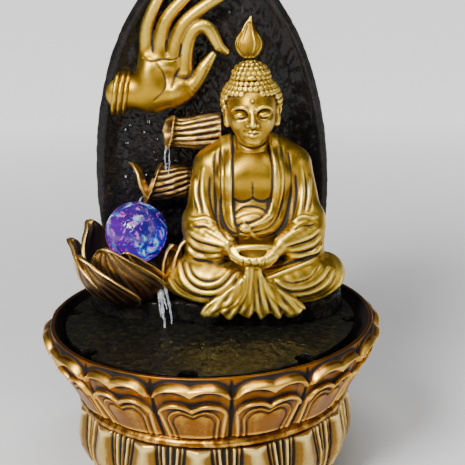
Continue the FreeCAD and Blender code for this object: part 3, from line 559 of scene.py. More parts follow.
# %% [markdown]
# ## Rock step
#
# The step under the figure and the cup: a flat rock with a wavy front, worn edges and a rough top.
# A polar grid about its middle follows the outline, with the side rows pushed about by noise.

# %% Rock step
STEP_OUTLINE = ((-79, 34), (-76, 18), (-66, 3), (-46, -5), (-22, -8), (2, -14), (27, -17.5), (55, -15),
                (76, -4),
                (82, 12), (79, 34), (74, 44), (60, 54), (-60, 54), (-74, 44))


def step_points():
    """Rings from the middle of the top, over the worn edge, down the side and back underneath."""
    columns = 720
    corners = np.array(STEP_OUTLINE, float) - (4, 22)
    corner_angle = np.arctan2(corners[:, 1], corners[:, 0])
    order = np.argsort(corner_angle)
    corner_r = np.hypot(*corners.T)
    angle = (np.arange(columns) / columns * TAU - math.pi)[None, :]
    outline = np.interp(angle[0], corner_angle[order], corner_r[order], period=TAU)[None, :]
    outline = blurred(np.repeat(outline, 3, 0), 7, True)[:1]
    rows = [(f, 0.0, 116.0) for f in np.linspace(0, 1, 48)]
    rows += [(1, 0.9, 115.7), (1, 1.7, 114.8), (1, 2.1, 113.6), (1, 2.2, 112), (1, 2.2, 110), (1, 2.3, 108),
             (1, 2.4, 106), (1, 2.6, 104.6), (1, 2.6, 103.6), (0.6, 0, 103.6), (0, 0, 103.6)]
    part, out, z = (np.array(rows).T)[:, :, None]
    radius = part * (outline - 2.6) + out
    x, y = 4 + radius * np.cos(angle), 22 + radius * np.sin(angle)
    lump = rough(x, y, z + 0 * x, 7.0, 31)
    fine = rough(x, y, z + 0 * x, 2.2, 32)
    side = smooth_step(0.96, 1.0, part) * (z > 103.8)
    radius = radius + side * (0.9 * lump + 0.35 * fine)
    height = z + (1 - side) * (part > 0) * (z > 110) * (0.5 * lump + 0.3 * fine)
    points = np.stack([4 + radius * np.cos(angle), 22 + radius * np.sin(angle), height], -1)
    return points, 0.6 * (lump + fine)


points, relief = step_points()
step = grid_piece("rock_ledge", points, "upper_assembly", relief, ["rock_step"])
step.data.materials.append(STEP_ROCK)

# %% [markdown]
# ## Backboard
#
# The backboard is a hollow oval with a thick rim, a dished front like tree bark and a flat cut at
# the foot. Each row of the grid is the same outline inset by some amount at some depth, running
# from the middle of the dish over the rim to the back. Bark is layered noise stretched upwards.

# %% Backboard
def oval(angle, inset, foot):
    """Radius from (1.6, 177) of the inset oval cut off by a level line at the foot."""
    a, b = 75.3 - inset, 142.5 - inset
    radius = a * b / np.sqrt((b * np.cos(angle)) ** 2 + (a * np.sin(angle)) ** 2)
    chord = (177.0 - foot) / np.maximum(-np.sin(angle), 1e-6)
    return np.minimum(radius, chord)


def board_points():
    """Rows from the dish's middle over the rim and back to the middle of the rear."""
    columns = 840
    angle = (np.arange(columns) / columns * TAU)[None, :]
    rows = [(f, 17.0, 52.8) for f in np.linspace(0, 1, 92)]
    rows += [(1, i, y) for i, y in ((15, 52.3), (13, 51.3), (11, 50.1), (9.2, 49), (7.8, 47.9), (6.6, 46.8),
                                    (5.5, 46.2),
                                    (4.4, 45.9), (3.2, 45.9), (2.0, 46.1), (1.0, 46.5), (0.3, 47.4),
                                    (0, 48.6), (0, 52),
                                    (0.4, 56), (2.2, 60), (4.4, 64), (6.6, 68), (7, 68.7), (7.6, 69),
                                    (10.4, 69), (11, 68.8))]
    rows += [(0.5, 11, 68.8), (0, 11, 68.8)]
    part, inset, y = (np.array(rows).T)[:, :, None]
    foot = np.where((y < 52.9) & (inset > 16), 110.0, 104.2)
    radius = part * oval(angle, inset, foot)
    x, z = 1.6 + radius * np.cos(angle), 177 + radius * np.sin(angle)
    bark = rough(x, z * 0.7, y + 0 * x, 6.5, 41)
    fine = rough(x, z, y + 0 * x, 2.2, 42)
    crease = 1 - np.abs(rough(x * 1.1, z * 0.6, y + 0 * x, 4.5, 43)) * 2.2
    front = (part > 0) * (y < 53) * (np.arange(len(rows))[:, None] < 104)
    soft = smooth_step(0.0, 1.5, inset)
    lift = front * (0.25 + 0.75 * smooth_step(4.0, 17.0, inset)) * (0.9 * bark + 0.42 * fine - 0.35
                                                                    * np.maximum(crease, 0))
    rim = (1 - soft) * (y < 66) * (0.35 * bark + 0.12 * fine - 0.5)
    points = np.stack([x + rim * np.cos(angle), y - lift, z + rim * np.sin(angle)], -1)
    return points, 1.1 * (bark * 0.5 + fine * 0.5) * front


points, relief = board_points()
board = grid_piece("bark_backboard", points, "upper_assembly", relief, ["backboard"])
board.data.materials.append(BARK_BLACK)

# %% [markdown]
# ## Leaf spouts
#
# Each spout is a leaf rolled into a bag, half sunk in the board, ribbed along its length and open at
# its left end, where a slanted mouth lets the water out. A spout is a tube of angle round the roll
# and distance along it; the mouth's slant is just an end that depends on the angle, and the inner
# wall is the same tube made thinner.

# %% Leaf spouts
def rolled_leaf(name, right, mouth, middle, radii, ribs, swirl, taper, flare, replaces):
    """Tube from the closed right end to a slanted mouth and back inside.

    mouth and taper are tables (degrees, value) and (part, value); angle 0 is up and 90 the front.
    """
    columns, length = 288, 84
    angle = (np.arange(columns) / columns * TAU)[None, :]
    end = np.interp(np.degrees(angle[0]), *np.array(mouth, float).T, period=360)[None, :]
    part = np.linspace(0, 1, length)[:, None]
    width = np.interp(part[:, 0], *np.array(taper, float).T)[:, None]
    x = right + (end - right) * part
    wave = ribs * (angle + swirl * (1 - part) ** 1.5) / 2
    rib = np.abs(np.sin(wave)) ** 0.55
    fine = rough(x * 0.35, 9 * angle + 0 * x, 0 * x, 2.0, 51)
    height = 1.5 * (rib - 0.75) * smooth_step(0.0, 0.1, part) * (1 - 0.55 * smooth_step(0.86, 1.0, part)) + 0.14 * fine
    lip = 0.9 * ridge(part, 0.975, 0.03) + flare * smooth_step(0.8, 1.0, part) ** 2
    outer = width + (height + lip) / radii[1]
    cap = np.array([0.0, 0.5, 0.9])[:, None] * width[:1]
    inner_part = np.array([0.995, 0.96, 0.9, 0.8, 0.65, 0.45, 0.3, 0.3])[:, None]
    inner = np.interp(inner_part[:, 0], *np.array(taper, float).T)[:, None] - 1.5 / radii[1]
    inner = inner + flare * smooth_step(0.8, 1.0, inner_part) ** 2 / radii[1]
    inner[-1] = 0
    scale = np.concatenate([cap + 0 * angle, outer, inner + 0 * angle])
    along = np.concatenate([right + 0 * cap + 0 * angle, x, right + (end - right) * inner_part])
    along[-1] = along[-1].mean()
    points = np.stack([along, middle[0] - radii[0] * scale * np.sin(angle),
                       middle[1] + radii[1] * scale * np.cos(angle)],
                      -1)
    # Inside the mouth the rows darken with depth away from the opening: painted shade inside the rolled leaf. The
    # first inner row keeps the bright rim.
    relief = np.concatenate([0 * cap + 0 * angle, (rib - 0.62) * 1.5 + 2.2 * ridge(part, 0.985, 0.03) + 0.3
                             * fine,
                             np.repeat([[0.8], [0.5], [0.1], [-0.5], [-0.8], [-0.9], [-0.9], [-0.9]],
                                       columns, 1)])
    made = grid_piece(name, points, "upper_assembly", relief, replaces)
    made.data.materials.append(LEAF_BRONZE)
    return made


rolled_leaf("upper_leaf_spout", 8.5, ((0, -21), (40, -22), (90, -23), (140, -25.5), (180, -28), (230, -29),
                                      (270, -30),
                                      (320, -27)), (43, 211.2), (12.5, 10.6), 15, 0.35,
            ((0, 1.12), (0.15, 1.08), (0.5, 0.97), (0.8, 0.82), (1, 0.80)), 1.4, ["upper_leaf"])
rolled_leaf("lower_leaf_spout", -9.0, ((0, -30), (20, -31.5), (60, -34), (100, -37), (140, -40.5),
                                       (180, -43), (220, -42),
                                       (270, -38), (320, -33)), (42, 179.0), (12.0, 11.0), 15, 0.8,
            ((0, 0.55), (0.2, 0.85), (0.5, 1.0), (0.8, 1.0), (1, 1.0)), 0.8, ["lower_leaf"])


def leaf_flap():
    """Free petal left of the lower mouth: a thin curved sheet from its foot up to a pointed tip."""
    across = np.linspace(-1, 1, 25)[None, :]
    up = np.linspace(0, 1, 40)[:, None]
    middle = np.interp(up[:, 0], (0, 0.35, 0.7, 1), (-41.6, -44.6, -46.6, -50.5))[:, None]
    level = 170.5 + 22.5 * up
    reach = 9.5 * np.sin(math.pi * (0.25 + 0.75 * up)) ** 0.7 + 0.4
    depth = 42.5 + reach * across
    bend = middle + 1.6 * across ** 2
    thick = 0.7 + 0.5 * np.maximum(ridge(np.abs(across) + 0 * up, 1, 0.1), ridge(up + 0 * across, 1, 0.05))
    outer = np.stack([bend - thick, depth + 0 * up, level + 0 * across], -1)
    inner = np.stack([bend + thick, depth + 0 * up, level + 0 * across], -1)
    sheet = np.concatenate([outer, inner[:, ::-1]], 1)
    ends = [np.repeat(row.mean(0)[None, None], sheet.shape[1], 1) for row in (sheet[0], sheet[-1])]
    return np.concatenate([ends[0], sheet, ends[1]]), 0.9 + 0 * np.concatenate([ends[0], sheet, ends[1]])[..., 0]


points, relief = leaf_flap()
flap = grid_piece("lower_leaf_flap", points, "upper_assembly", relief)
flap.data.materials.append(LEAF_BRONZE)

# %% [markdown]
# ## Lotus cup
#
# The cup that holds the glass ball is a small bowl inside eight broad petals that lean to one side
# and overlap, like an open lotus. Each petal is a thin closed sheet: a pointed outline across and
# up, wrapped round the cup's axis, veined from its foot and thickened along its rim.

# %% Lotus cup and petals
CUP_X, CUP_Y = -46.0, 16.0


def cup_point(radius, angle, z):
    """Point at a polar angle (0 = right, 270 = front) round the cup's axis."""
    return np.stack([CUP_X + radius * np.cos(angle), CUP_Y + radius * np.sin(angle),
                     z + 0 * angle * radius], -1)


def cup_bowl():
    """Bowl from the middle of its foot up the outside, over a rim with a spill notch, and inside."""
    angle = (np.arange(180) / 180 * TAU)[None, :]
    notch = np.exp(-((np.degrees(angle) - 308) / 17.0) ** 2)
    profile = np.array([[0, 115.6, 0], [14, 115.6, 0], [17, 117, 0], [21, 121, 0], [24, 126, 0.4],
                        [26.6, 133, 1],
                        [27.0, 134.2, 1], [26.2, 134.4, 1], [25.6, 133, 1], [23, 127, 0.5], [19, 122.5, 0],
                        [13.0, 121.5, 0], [12.5, 137.6, 0], [10.3, 137.6, 0], [10.0, 121.5, 0],
                        [0, 121.5, 0]])
    z = profile[:, 1:2] - 9.0 * notch * profile[:, 2:3]
    points = cup_point(profile[:, :1] + 0 * angle, angle, z)
    return points, np.where(profile[:, :1] > 20, 0.1, -0.6) + 0 * angle


def petal(foot_angle, tip_angle, half, foot, tip, belly, seed, round_top=0.55):
    """Closed sheet of a leaning petal.

    Its middle line runs from foot to tip, both (radius, z), bulging out by belly; its half width in
    degrees follows sin^round_top of the way up, so it is full in the middle and pointed at the top.
    """
    across = np.linspace(-1, 1, 57)[None, :]
    up = np.linspace(0, 1, 64)[:, None]
    wide = np.radians(half) * np.sin(math.pi * (0.16 + 0.838 * up)) ** round_top
    wide = wide * (1 - 0.25 * smooth_step(0.7, 1.0, up))
    lean = np.radians(foot_angle + (tip_angle - foot_angle) * smooth_step(0.0, 1.1, up) ** 1.2)
    curl = 1.6 * np.abs(across) ** 3 * smooth_step(0.25, 0.9, up) + 2.6 * smooth_step(0.86, 1.0, up) ** 2
    radius = foot[0] + (tip[0] - foot[0]) * up ** 0.75 + belly * np.sin(math.pi * up ** 0.8) + curl
    wavy = 0.7 * lattice_noise(6 * across + 0 * up, 5 * up + 0 * across, 0 * up * across + seed, 2.2, 61)
    z = foot[1] + (tip[1] - foot[1]) * up ** 1.15 - 3.0 * across ** 2 * up * (1 - up) + 0 * across
    veins = np.abs(np.sin(11 * across * (0.55 + 0.45 * up))) ** 0.5
    rim = np.maximum(ridge(np.abs(across) + 0 * up, 0.97, 0.07), ridge(up + 0 * across, 0.99, 0.03))
    thick = 0.75 + 0.55 * rim
    side = 0.35 * (veins - 0.7) * smooth_step(0, 0.15, up) + 0.45 * ridge(across + 0 * up, 0.0, 0.05)
    outer = cup_point(radius + wavy + thick + side, lean + wide * across, z)
    inner = cup_point(radius + wavy - thick, lean + wide * across, z)
    relief_out = (veins - 0.62) * 0.9 + 2.3 * rim - 0.35 * (1 - up)
    relief_in = 1.4 * rim - 0.6 + 0 * veins
    points = np.concatenate([outer, inner[:, ::-1]], 1)
    closed = np.concatenate([points.mean(1, keepdims=True)[:1].repeat(points.shape[1], 1).reshape(1, -1, 3),
                             points,
                             points[-1:].mean(1, keepdims=True).repeat(points.shape[1], 1)])
    relief = np.concatenate([relief_out, relief_in[:, ::-1]], 1)
    return closed, np.concatenate([relief[:1], relief, relief[-1:]])


PETALS = (  # foot angle, tip angle, half width, foot (radius, z), tip (radius, z), belly, seed
    (248, 212, 34, (21, 113.5), (37.0, 146.5), 5.5, 1),
    (276, 240, 40, (19, 114.0), (31.0, 153.0), 6.0, 2),
    (292, 262, 32, (18, 115.0), (27.0, 150.5), 5.0, 3),
    (205, 176, 34, (20, 116.0), (38.5, 150.5), 5.0, 4),
    (168, 150, 34, (22, 118.0), (32.0, 158.0), 4.0, 5),
    (328, 318, 20, (19, 117.0), (28.0, 152.0), 4.5, 6),
    (340, 328, 26, (20, 117.0), (35.0, 156.0), 6.0, 7),
    (5, -8, 27, (20, 119.0), (33.0, 162.0), 6.0, 8),
)


def joined(parts):
    """Points, faces and relief of several closed grids as one mesh."""
    points, faces, relief, count = [], [], [], 0
    for grid, values in parts:
        rows, columns = grid.shape[:2]
        points.append(grid.reshape(-1, 3))
        faces.append(grid_faces(rows, columns, False, True) + count)
        relief.append(values.reshape(-1))
        count += rows * columns
    return np.concatenate(points), np.concatenate(faces), np.concatenate(relief)


points, relief = cup_bowl()
cup = grid_piece("lotus_cup_bowl", points, "upper_assembly", relief, ["lotus_cup"])
cup.data.materials.append(LEAF_BRONZE)
points, faces, relief = joined([petal(*numbers) for numbers in PETALS])
petals = build("lotus_cup_petals", points, faces, "upper_assembly", relief,
               ["outer_petals", "inner_petals"])
petals.data.materials.append(LEAF_BRONZE)

# %% [markdown]
# ## Glass ball
#
# A crackled glass ball, lit from below by the coloured lamp in its cup. The light inside it is shown
# as emission: violet glass, magenta to the left, cyan and white strands where the cracks catch the
# light. The sphere's surface carries shallow crackle so it glints.

# %% Glass ball
BALL_CENTRE = (-46.0, 16.0, 153.8)


def ball_points():
    """Sphere of radius R with shallow crackle: R + 0.16 ridge(noise, 0, 0.12)."""
    turn = (np.arange(240) / 240 * TAU)[None, :]
    tilt = np.linspace(0, math.pi, 121)[:, None]
    x, y, z = np.sin(tilt) * np.cos(turn), np.sin(tilt) * np.sin(turn), np.cos(tilt) + 0 * turn
    crack = ridge(rough(19 * x, 19 * y, 19 * z, 6.0, 71), 0.0, 0.12)
    radius = 19.15 + 0.14 * crack * np.sin(tilt)
    return np.stack([BALL_CENTRE[0] + radius * x, BALL_CENTRE[1] + radius * y, BALL_CENTRE[2] + radius * z],
                    -1), crack


def lit_glass():
    """Violet glass lit from within by cyan, white and magenta strands."""
    material, tree, shader = principled("lit crackle glass")
    where = node(tree, "ShaderNodeTexCoord").outputs["Object"]
    strands = noise_node(tree, where, 75.0, 4.0, 0.6, 1.6)
    second = noise_node(tree, where, 130.0, 3.0, 0.6, 2.2)
    patch = noise_node(tree, where, 45.0, 2.0, 0.5, 0.8)
    axes = node(tree, "ShaderNodeSeparateXYZ")
    tree.links.new(where, axes.inputs[0])
    leftness = remap(tree, axes.outputs["X"], -0.040, -0.066)
    colour = mix_colour(tree, remap(tree, patch, 0.40, 0.62), (0.001, 0.0, 0.13), (0.030, 0.0, 0.50))
    magenta = maths(tree, "MULTIPLY", leftness, remap(tree, second, 0.42, 0.60, 0.35, 1.0))
    colour = mix_colour(tree, magenta, colour, (0.34, 0.0, 0.40))
    colour = mix_colour(tree, remap(tree, strands, 0.53, 0.60), colour, (0.01, 0.32, 1.0))
    colour = mix_colour(tree, remap(tree, second, 0.58, 0.63), colour, (0.80, 0.22, 1.0))
    colour = mix_colour(tree, remap(tree, strands, 0.61, 0.66), colour, (0.65, 1.0, 1.0))
    tree.links.new(colour, shader.inputs["Emission Color"])
    shader.inputs["Emission Strength"].default_value = 0.8
    shader.inputs["Base Color"].default_value = (0.01, 0.004, 0.05, 1)
    shader.inputs["Roughness"].default_value = 0.12
    shader.inputs["Coat Weight"].default_value = 0.3
    add_bump(tree, shader, second, 0.35, 0.0008)
    return material


points, relief = ball_points()
ball = grid_piece("crackle_ball", points, "rolling_ball", relief, ["glass_ball"])
ball.data.materials.append(lit_glass())

# %% [markdown]
# ## Clay
#
# A figure is neither a sheet nor a tube, so it is modelled as clay: a grid of signed distances in
# which lumps are joined and cut with rounded seams. Curves drawn in the front view are dropped onto
# the surface and added as raised folds or cut as creases. The skin is then taken off the grid with
# surface nets, one point per cell the surface passes through, placed at the mean of its crossings.

# %% Clay: signed distances on a grid
def flowing(path, steps=4):
    """Path rounded with Catmull-Rom curves: 0.5 (2b + (c-a)t + (2a-5b+4c-d)t^2 + (3b-a-3c+d)t^3)."""
    path = np.array(path, float)
    if len(path) < 3:
        return path
    ends = np.concatenate([2 * path[:1] - path[1:2], path, 2 * path[-1:] - path[-2:-1]])
    a, b, c, d = (ends[i:len(ends) - 3 + i, None] for i in range(4))
    t = (np.arange(steps) / steps)[None, :, None]
    curve = 0.5 * (2 * b + (c - a) * t + (2 * a - 5 * b + 4 * c - d) * t ** 2 + (3 * b - a - 3 * c + d)
                   * t ** 3)
    return np.concatenate([curve.reshape(-1, path.shape[1]), path[-1:]])


class Clay:
    """Block of clay; field holds distances in mm, negative inside."""

    def __init__(self, low, high, cell):
        self.low, self.cell = np.array(low, float), cell
        self.size = np.ceil((np.array(high) - self.low) / cell).astype(int) + 1
        self.field = np.full(self.size, 6.0, np.float32)

    def window(self, low, high):
        """Slices of the grid around a box, and the coordinates of the points in it."""
        first = np.clip(((np.array(low) - self.low) / self.cell).astype(int), 0, self.size)
        last = np.clip(((np.array(high) - self.low) / self.cell).astype(int) + 2, 0, self.size)
        axes = [self.low[i] + self.cell * np.arange(first[i], last[i], dtype=np.float32) for i in range(3)]
        return tuple(slice(a, b) for a, b in zip(first, last)), np.meshgrid(*axes, indexing="ij",
                                                                            sparse=True)

    def blend(self, where, distance, k, cut):
        """Join (or cut) a shape: min(a, b) - k h^2 / 4 with h = max(1 - |a - b| / k, 0)."""
        field = self.field[where]
        a, b = (-field, distance) if cut else (field, distance)
        h = np.maximum(k - np.abs(a - b), 0) / k
        mixed = np.minimum(a, b) - h * h * k / 4
        self.field[where] = -mixed if cut else mixed

    def lump(self, centre, radii, k=3.0, cut=False, lean=0.0):
        """Ellipsoid, leaning by an angle in the front view: d = q (q - 1) / |p / r^2|, q = |p / r|."""
        reach = max(radii) + k + 2
        where, (x, y, z) = self.window(np.array(centre) - reach, np.array(centre) + reach)
        x, y, z = x - centre[0], y - centre[1], z - centre[2]
        c, s = math.cos(math.radians(lean)), math.sin(math.radians(lean))
        u, v = c * x + s * z, c * z - s * x
        q = np.sqrt((u / radii[0]) ** 2 + (y / radii[1]) ** 2 + (v / radii[2]) ** 2)
        slope = np.sqrt((u / radii[0] ** 2) ** 2 + (y / radii[1] ** 2) ** 2 + (v / radii[2] ** 2) ** 2)
        self.blend(where, (q * (q - 1) / np.maximum(slope, 1e-4)).astype(np.float32), k, cut)

    def limb(self, path, radii, k=2.0, cut=False, flat=1.0):
        """Tube of changing radius along a path; flat < 1 squashes it in depth."""
        radii = np.broadcast_to(radii, len(path)).astype(float)
        whole = flowing(np.concatenate([np.array(path, float), radii[:, None]], 1)) if len(path) < 9 else (
            np.concatenate([np.array(path, float), radii[:, None]], 1))
        path, radii = whole[:, :3], whole[:, 3]
        reach = radii.max() + k + 1
        where, _ = self.window(path.min(0) - reach, path.max(0) + reach)
        first = np.array([s.start for s in where])
        distance = np.full(self.field[where].shape, 9.0, np.float32)
        for a, b, ra, rb in zip(path[:-1], path[1:], radii[:-1], radii[1:]):
            near, (x, y, z) = self.window(np.minimum(a, b) - max(ra, rb) - k - 1,
                                          np.maximum(a, b) + max(ra, rb) + k + 1)
            if min(s.stop - s.start for s in near) <= 0:
                continue
            local = tuple(slice(s.start - f, s.stop - f) for s, f in zip(near, first))
            along = b - a
            t = ((x - a[0]) * along[0] + (y - a[1]) * along[1] + (z - a[2])
                 * along[2]) / max(along @ along, 1e-9)
            t = np.clip(t, 0, 1)
            gap = np.sqrt((x - a[0] - t * along[0]) ** 2 + ((y - a[1] - t * along[1]) / flat) ** 2
                          + (z - a[2] - t * along[2]) ** 2) - ra - t * (rb - ra)
            distance[local] = np.minimum(distance[local], gap)
        self.blend(where, distance, k, cut)

    def front(self, x, z):
        """Depth y at which the surface is met, looking from the front along +Y."""
        i = np.clip(np.rint((x - self.low[0]) / self.cell).astype(int), 0, self.size[0] - 1)
        k = np.clip(np.rint((z - self.low[2]) / self.cell).astype(int), 0, self.size[2] - 1)
        column = self.field[i, :, k]
        hit = np.argmax(column < 0, 1)
        met = hit > 0
        before = column[np.arange(len(i)), np.maximum(hit - 1, 0)]
        after = column[np.arange(len(i)), hit]
        part = before / np.maximum(before - after, 1e-6)
        depth = self.low[1] + self.cell * (np.maximum(hit - 1, 0) + np.clip(part, 0, 1))
        along = np.arange(len(i))
        return np.interp(along, along[met], depth[met]) if met.any() else depth + 1e3

    def fold(self, curve, width, height, k=0.8, ends=0.35):
        """Raised fold (height > 0) or crease (height < 0) along a front-view curve of (x, z) points.

        The curve is smoothed and dropped on the surface; width tapers to the part ends at both ends.
        """
        curve = flowing(curve)
        part = np.concatenate([[0], np.cumsum(np.hypot(*np.diff(curve, axis=0).T))])
        count = max(int(part[-1] / 1.0), 6)
        t = np.linspace(0, part[-1], count)
        path = np.stack([np.interp(t, part, curve[:, 0]), np.interp(t, part, curve[:, 1])], -1)
        for _ in range(3):
            path[1:-1] = (path[:-2] + 2 * path[1:-1] + path[2:]) / 4
        depth = self.front(path[:, 0], path[:, 1])
        for _ in range(4):
            depth[1:-1] = (depth[:-2] + 2 * depth[1:-1] + depth[2:]) / 4
        radius = width / 2 * (ends + (1 - ends) * np.sin(math.pi * t / t[-1]) ** 0.5)
        sunk = radius - abs(height) * radius / radius.max()
        depth = depth + sunk if height > 0 else depth - sunk
        self.limb(np.stack([path[:, 0], depth, path[:, 1]], -1), radius, k, cut=height < 0)

    def skin(self):
        """Points and quads of the zero surface, and how far each point stands proud."""
        field = self.field
        for edge in (field[0], field[-1], field[:, 0], field[:, -1], field[:, :, 0], field[:, :, -1]):
            np.maximum(edge, 0.05, out=edge)
        inside = field < 0
        count = sum(inside[i:i + s[0], j:j + s[1], k:k + s[2]].astype(np.int8)
                    for s in [self.size - 1] for i in (0, 1) for j in (0, 1) for k in (0, 1))
        cells = np.argwhere((count > 0) & (count < 8))
        number = np.full(self.size - 1, -1)
        number[tuple(cells.T)] = np.arange(len(cells))
        total, hits = np.zeros((len(cells), 3)), np.zeros(len(cells))
        for axis in range(3):
            others = [a for a in range(3) if a != axis]
            for i in (0, 1):
                for j in (0, 1):
                    start = cells.copy()
                    start[:, others[0]] += i
                    start[:, others[1]] += j
                    end = start.copy()
                    end[:, axis] += 1
                    a, b = field[tuple(start.T)], field[tuple(end.T)]
                    cross = (a < 0) != (b < 0)
                    spot = start.astype(float)
                    spot[:, axis] += np.where(cross, a / np.where(cross, a - b, 1), 0)
                    total += spot * cross[:, None]
                    hits += cross
        spots = total / hits[:, None]
        quads = []
        for axis in range(3):
            u, v = (axis + 1) % 3, (axis + 2) % 3
            change = np.argwhere(np.diff(inside, axis=axis))
            change = change[(change[:, u] > 0) & (change[:, v] > 0)]
            change = change[(change[:, u] < self.size[u] - 1) & (change[:, v] < self.size[v] - 1)]
            around = []
            for du, dv in ((1, 1), (0, 1), (0, 0), (1, 0)):
                cell = change.copy()
                cell[:, u] -= du
                cell[:, v] -= dv
                around.append(number[tuple(cell.T)])
            quad = np.stack(around, -1)
            outward = inside[tuple(change.T)]
            quads.append(np.where(outward[:, None], quad, quad[:, ::-1]))
        quads = np.concatenate(quads)
        spots = self.settled(self.eased(spots, quads))
        return self.low + self.cell * spots, quads, self.proud(spots)

    def sample(self, spots, field=None):
        """Field between grid points, weighted by the distance to the eight around (trilinear)."""
        field = self.field if field is None else field
        spots = np.clip(spots, 0, self.size - 1.001)
        base = spots.astype(int)
        t = spots - base
        total = 0.0
        for i in (0, 1):
            for j in (0, 1):
                for k in (0, 1):
                    weight = (abs(1 - i - t[:, 0])) * (abs(1 - j - t[:, 1])) * (abs(1 - k - t[:, 2]))
                    total = total + weight * field[base[:, 0] + i, base[:, 1] + j, base[:, 2] + k]
        return total

    def settled(self, spots):
        """Points moved on to the surface by two Newton steps, p - f grad f / |grad f|^2."""
        for _ in range(2):
            slope = np.stack([self.sample(spots + 0.5 * axis)
                              - self.sample(spots - 0.5 * axis) for axis in np.eye(3)], -1)
            step = self.sample(spots)[:, None] * slope / np.maximum((slope ** 2).sum(1, keepdims=True),
                                                                    0.02)
            spots = spots - np.clip(step, -0.35, 0.35)
        return spots

    @staticmethod
    def eased(spots, quads, passes=4):
        """Points moved half way to the mean of their neighbours, a few times, to take off terracing."""
        a = quads.ravel()
        b = np.roll(quads, -1, 1).ravel()
        start, end = np.concatenate([a, b]), np.concatenate([b, a])
        count = np.bincount(start, minlength=len(spots))[:, None]
        for _ in range(passes):
            mean = np.stack([np.bincount(start, spots[end, i], len(spots)) for i in range(3)], -1) / count
            spots = 0.5 * spots + 0.5 * mean
        return spots

    def proud(self, spots):
        """Mean of the distances around a point, near and wide: above 0 on a ridge, below in a hollow."""
        level = 0.0
        for reach, gain in ((2, 2.2), (5, 0.62)):
            soft = np.clip(self.field, -4, 4).astype(np.float64)
            for axis in range(3):
                pad = [(0, 0)] * 3
                pad[axis] = (reach + 1, reach)
                total = np.cumsum(np.pad(soft, pad, mode="edge"), axis)
                upper = np.take(total, np.arange(2 * reach + 1, total.shape[axis]), axis)
                lower = np.take(total, np.arange(0, total.shape[axis] - 2 * reach - 1), axis)
                soft = (upper - lower) / (2 * reach + 1)
            level = level + gain * self.sample(spots, soft)
        return level


def clay_piece(name, clay, shift, body, replaces, material, gain=1.0):
    """Finished object from a block of clay, moved by shift."""
    points, faces, relief = clay.skin()
    piece = build(name, points + np.array(shift), faces, body, np.clip(relief * gain, -1, 1),
                  replaces, 0)
    piece.data.materials.append(material)
    return piece

# %% [markdown]
# ## Hand, bangles and bud
#
# The raised hand is sunk to half its depth in the board, its forefinger and thumb closed in a ring.
# Each finger is a tube through its joints, the palm three lumps, and the creases are cut last. The
# bud is an egg drawn to a point, combed with strands.

# %% Hand relief
HAND_FINGERS = (
    (((-36, 50, 250), (-37, 49.5, 262), (-36, 48, 277), (-30, 47, 291), (-22.5, 47, 303)),
     (6.0, 5.0, 4.2, 3.6, 2.7)),
    (((-29, 48, 252), (-28.5, 47.5, 265), (-24, 46, 281), (-12, 45.5, 294), (0, 46, 303.5)),
     (6.2, 5.2, 4.3, 3.8, 2.8)),
    (((-21, 47.5, 252), (-19.5, 47, 264), (-13.5, 45, 278), (0, 44.5, 289), (14.5, 45.5, 296.5)),
     (6.2, 5.2, 4.4, 3.9, 2.8)),
    (((-14, 47, 250), (-13, 46, 260), (-9.5, 44.5, 271.5), (-3.5, 43.5, 277), (2.8, 43.5, 274.5),
      (8, 44, 265),
      (12.5, 45.5, 260.8)), (6.0, 5.2, 4.6, 4.4, 4.2, 3.3, 2.1)),
    (((-21, 48, 234), (-14, 46.5, 237), (-6.5, 45.5, 243.5), (-1, 44.5, 252), (4.2, 45, 259.2)),
     (8.0, 6.6, 4.8, 4.2, 2.5)),
)
hand = Clay((-64, 34, 218), (22, 60, 308), 0.5)
hand.lump((-29, 49, 251), (14.5, 7.0, 18), 3, lean=-6)
hand.lump((-34, 49.5, 236), (12.0, 8.0, 13), 4)
hand.lump((-20, 47, 237), (11.5, 9.0, 9.0), 4, lean=28)
hand.lump((-27, 46.5, 253), (8.5, 6.5, 5.0), 4, lean=0)
hand.lump((-36, 46.5, 246), (7.0, 7.5, 13), 4, lean=-4)
hand.limb(((-30, 50, 238), (-42, 50, 236.5), (-55, 51, 236)), (11.5, 11.0, 11.0), 5, flat=0.8)
for path, radii in HAND_FINGERS:
    hand.limb(path, radii, 1.6, flat=0.95)
for crease, width, depth in (
        (((-39, 258.5), (-33, 256.5), (-27, 258), (-20, 257), (-15, 260)), 1.0, -0.4),
        (((-33, 232), (-28, 237), (-25.5, 243), (-27, 250), (-31, 256)), 1.0, -0.35),
        (((-22, 240), (-20, 246), (-16.5, 252)), 1.2, -0.4), (((-33.2, 262), (-33, 269)), 1.2, -0.7),
        (((-24.5, 262), (-24, 269)), 1.2, -0.7), (((-16.5, 259), (-14.8, 267)), 1.2, -0.7)):
    hand.fold(crease, width, depth, 0.9)
clay_piece("raised_hand", hand, (0, 0, 0), "upper_assembly", ["hand_relief"], FIGURE_GOLD)


def ring_tube(centre_x, radius, thick, lean, turns=120, sides=18):
    """Bangle: a torus about a level axis, squashed in depth, leaning in the front view."""
    a = (np.arange(turns) / turns * TAU)[:, None]
    b = (np.arange(sides) / sides * TAU)[None, :]
    out = radius + thick * np.cos(b) * (1 + 0.06 * np.sin(14 * a))
    z = out * np.cos(a)
    points = np.stack([centre_x + lean * z + thick * np.sin(b), 50.5 - 0.82 * out * np.sin(a), 236 + z], -1)
    return points


rings = [(ring_tube(x, r, t, 0.16), r) for x, r,
         t in ((-51.0, 12.0, 1.5), (-54.4, 12.3, 1.7), (-57.9, 12.5, 1.6))]
points = np.concatenate([ring.reshape(-1, 3) for ring, _ in rings])
faces = np.concatenate([grid_faces(120, 18, True, True) + 2160 * i for i in range(3)])
bangles = build("wrist_bangles", points, faces, "upper_assembly", 0.2 + 0 * points[:, 0],
                ["hand_bangles"])
bangles.data.materials.append(FIGURE_GOLD)

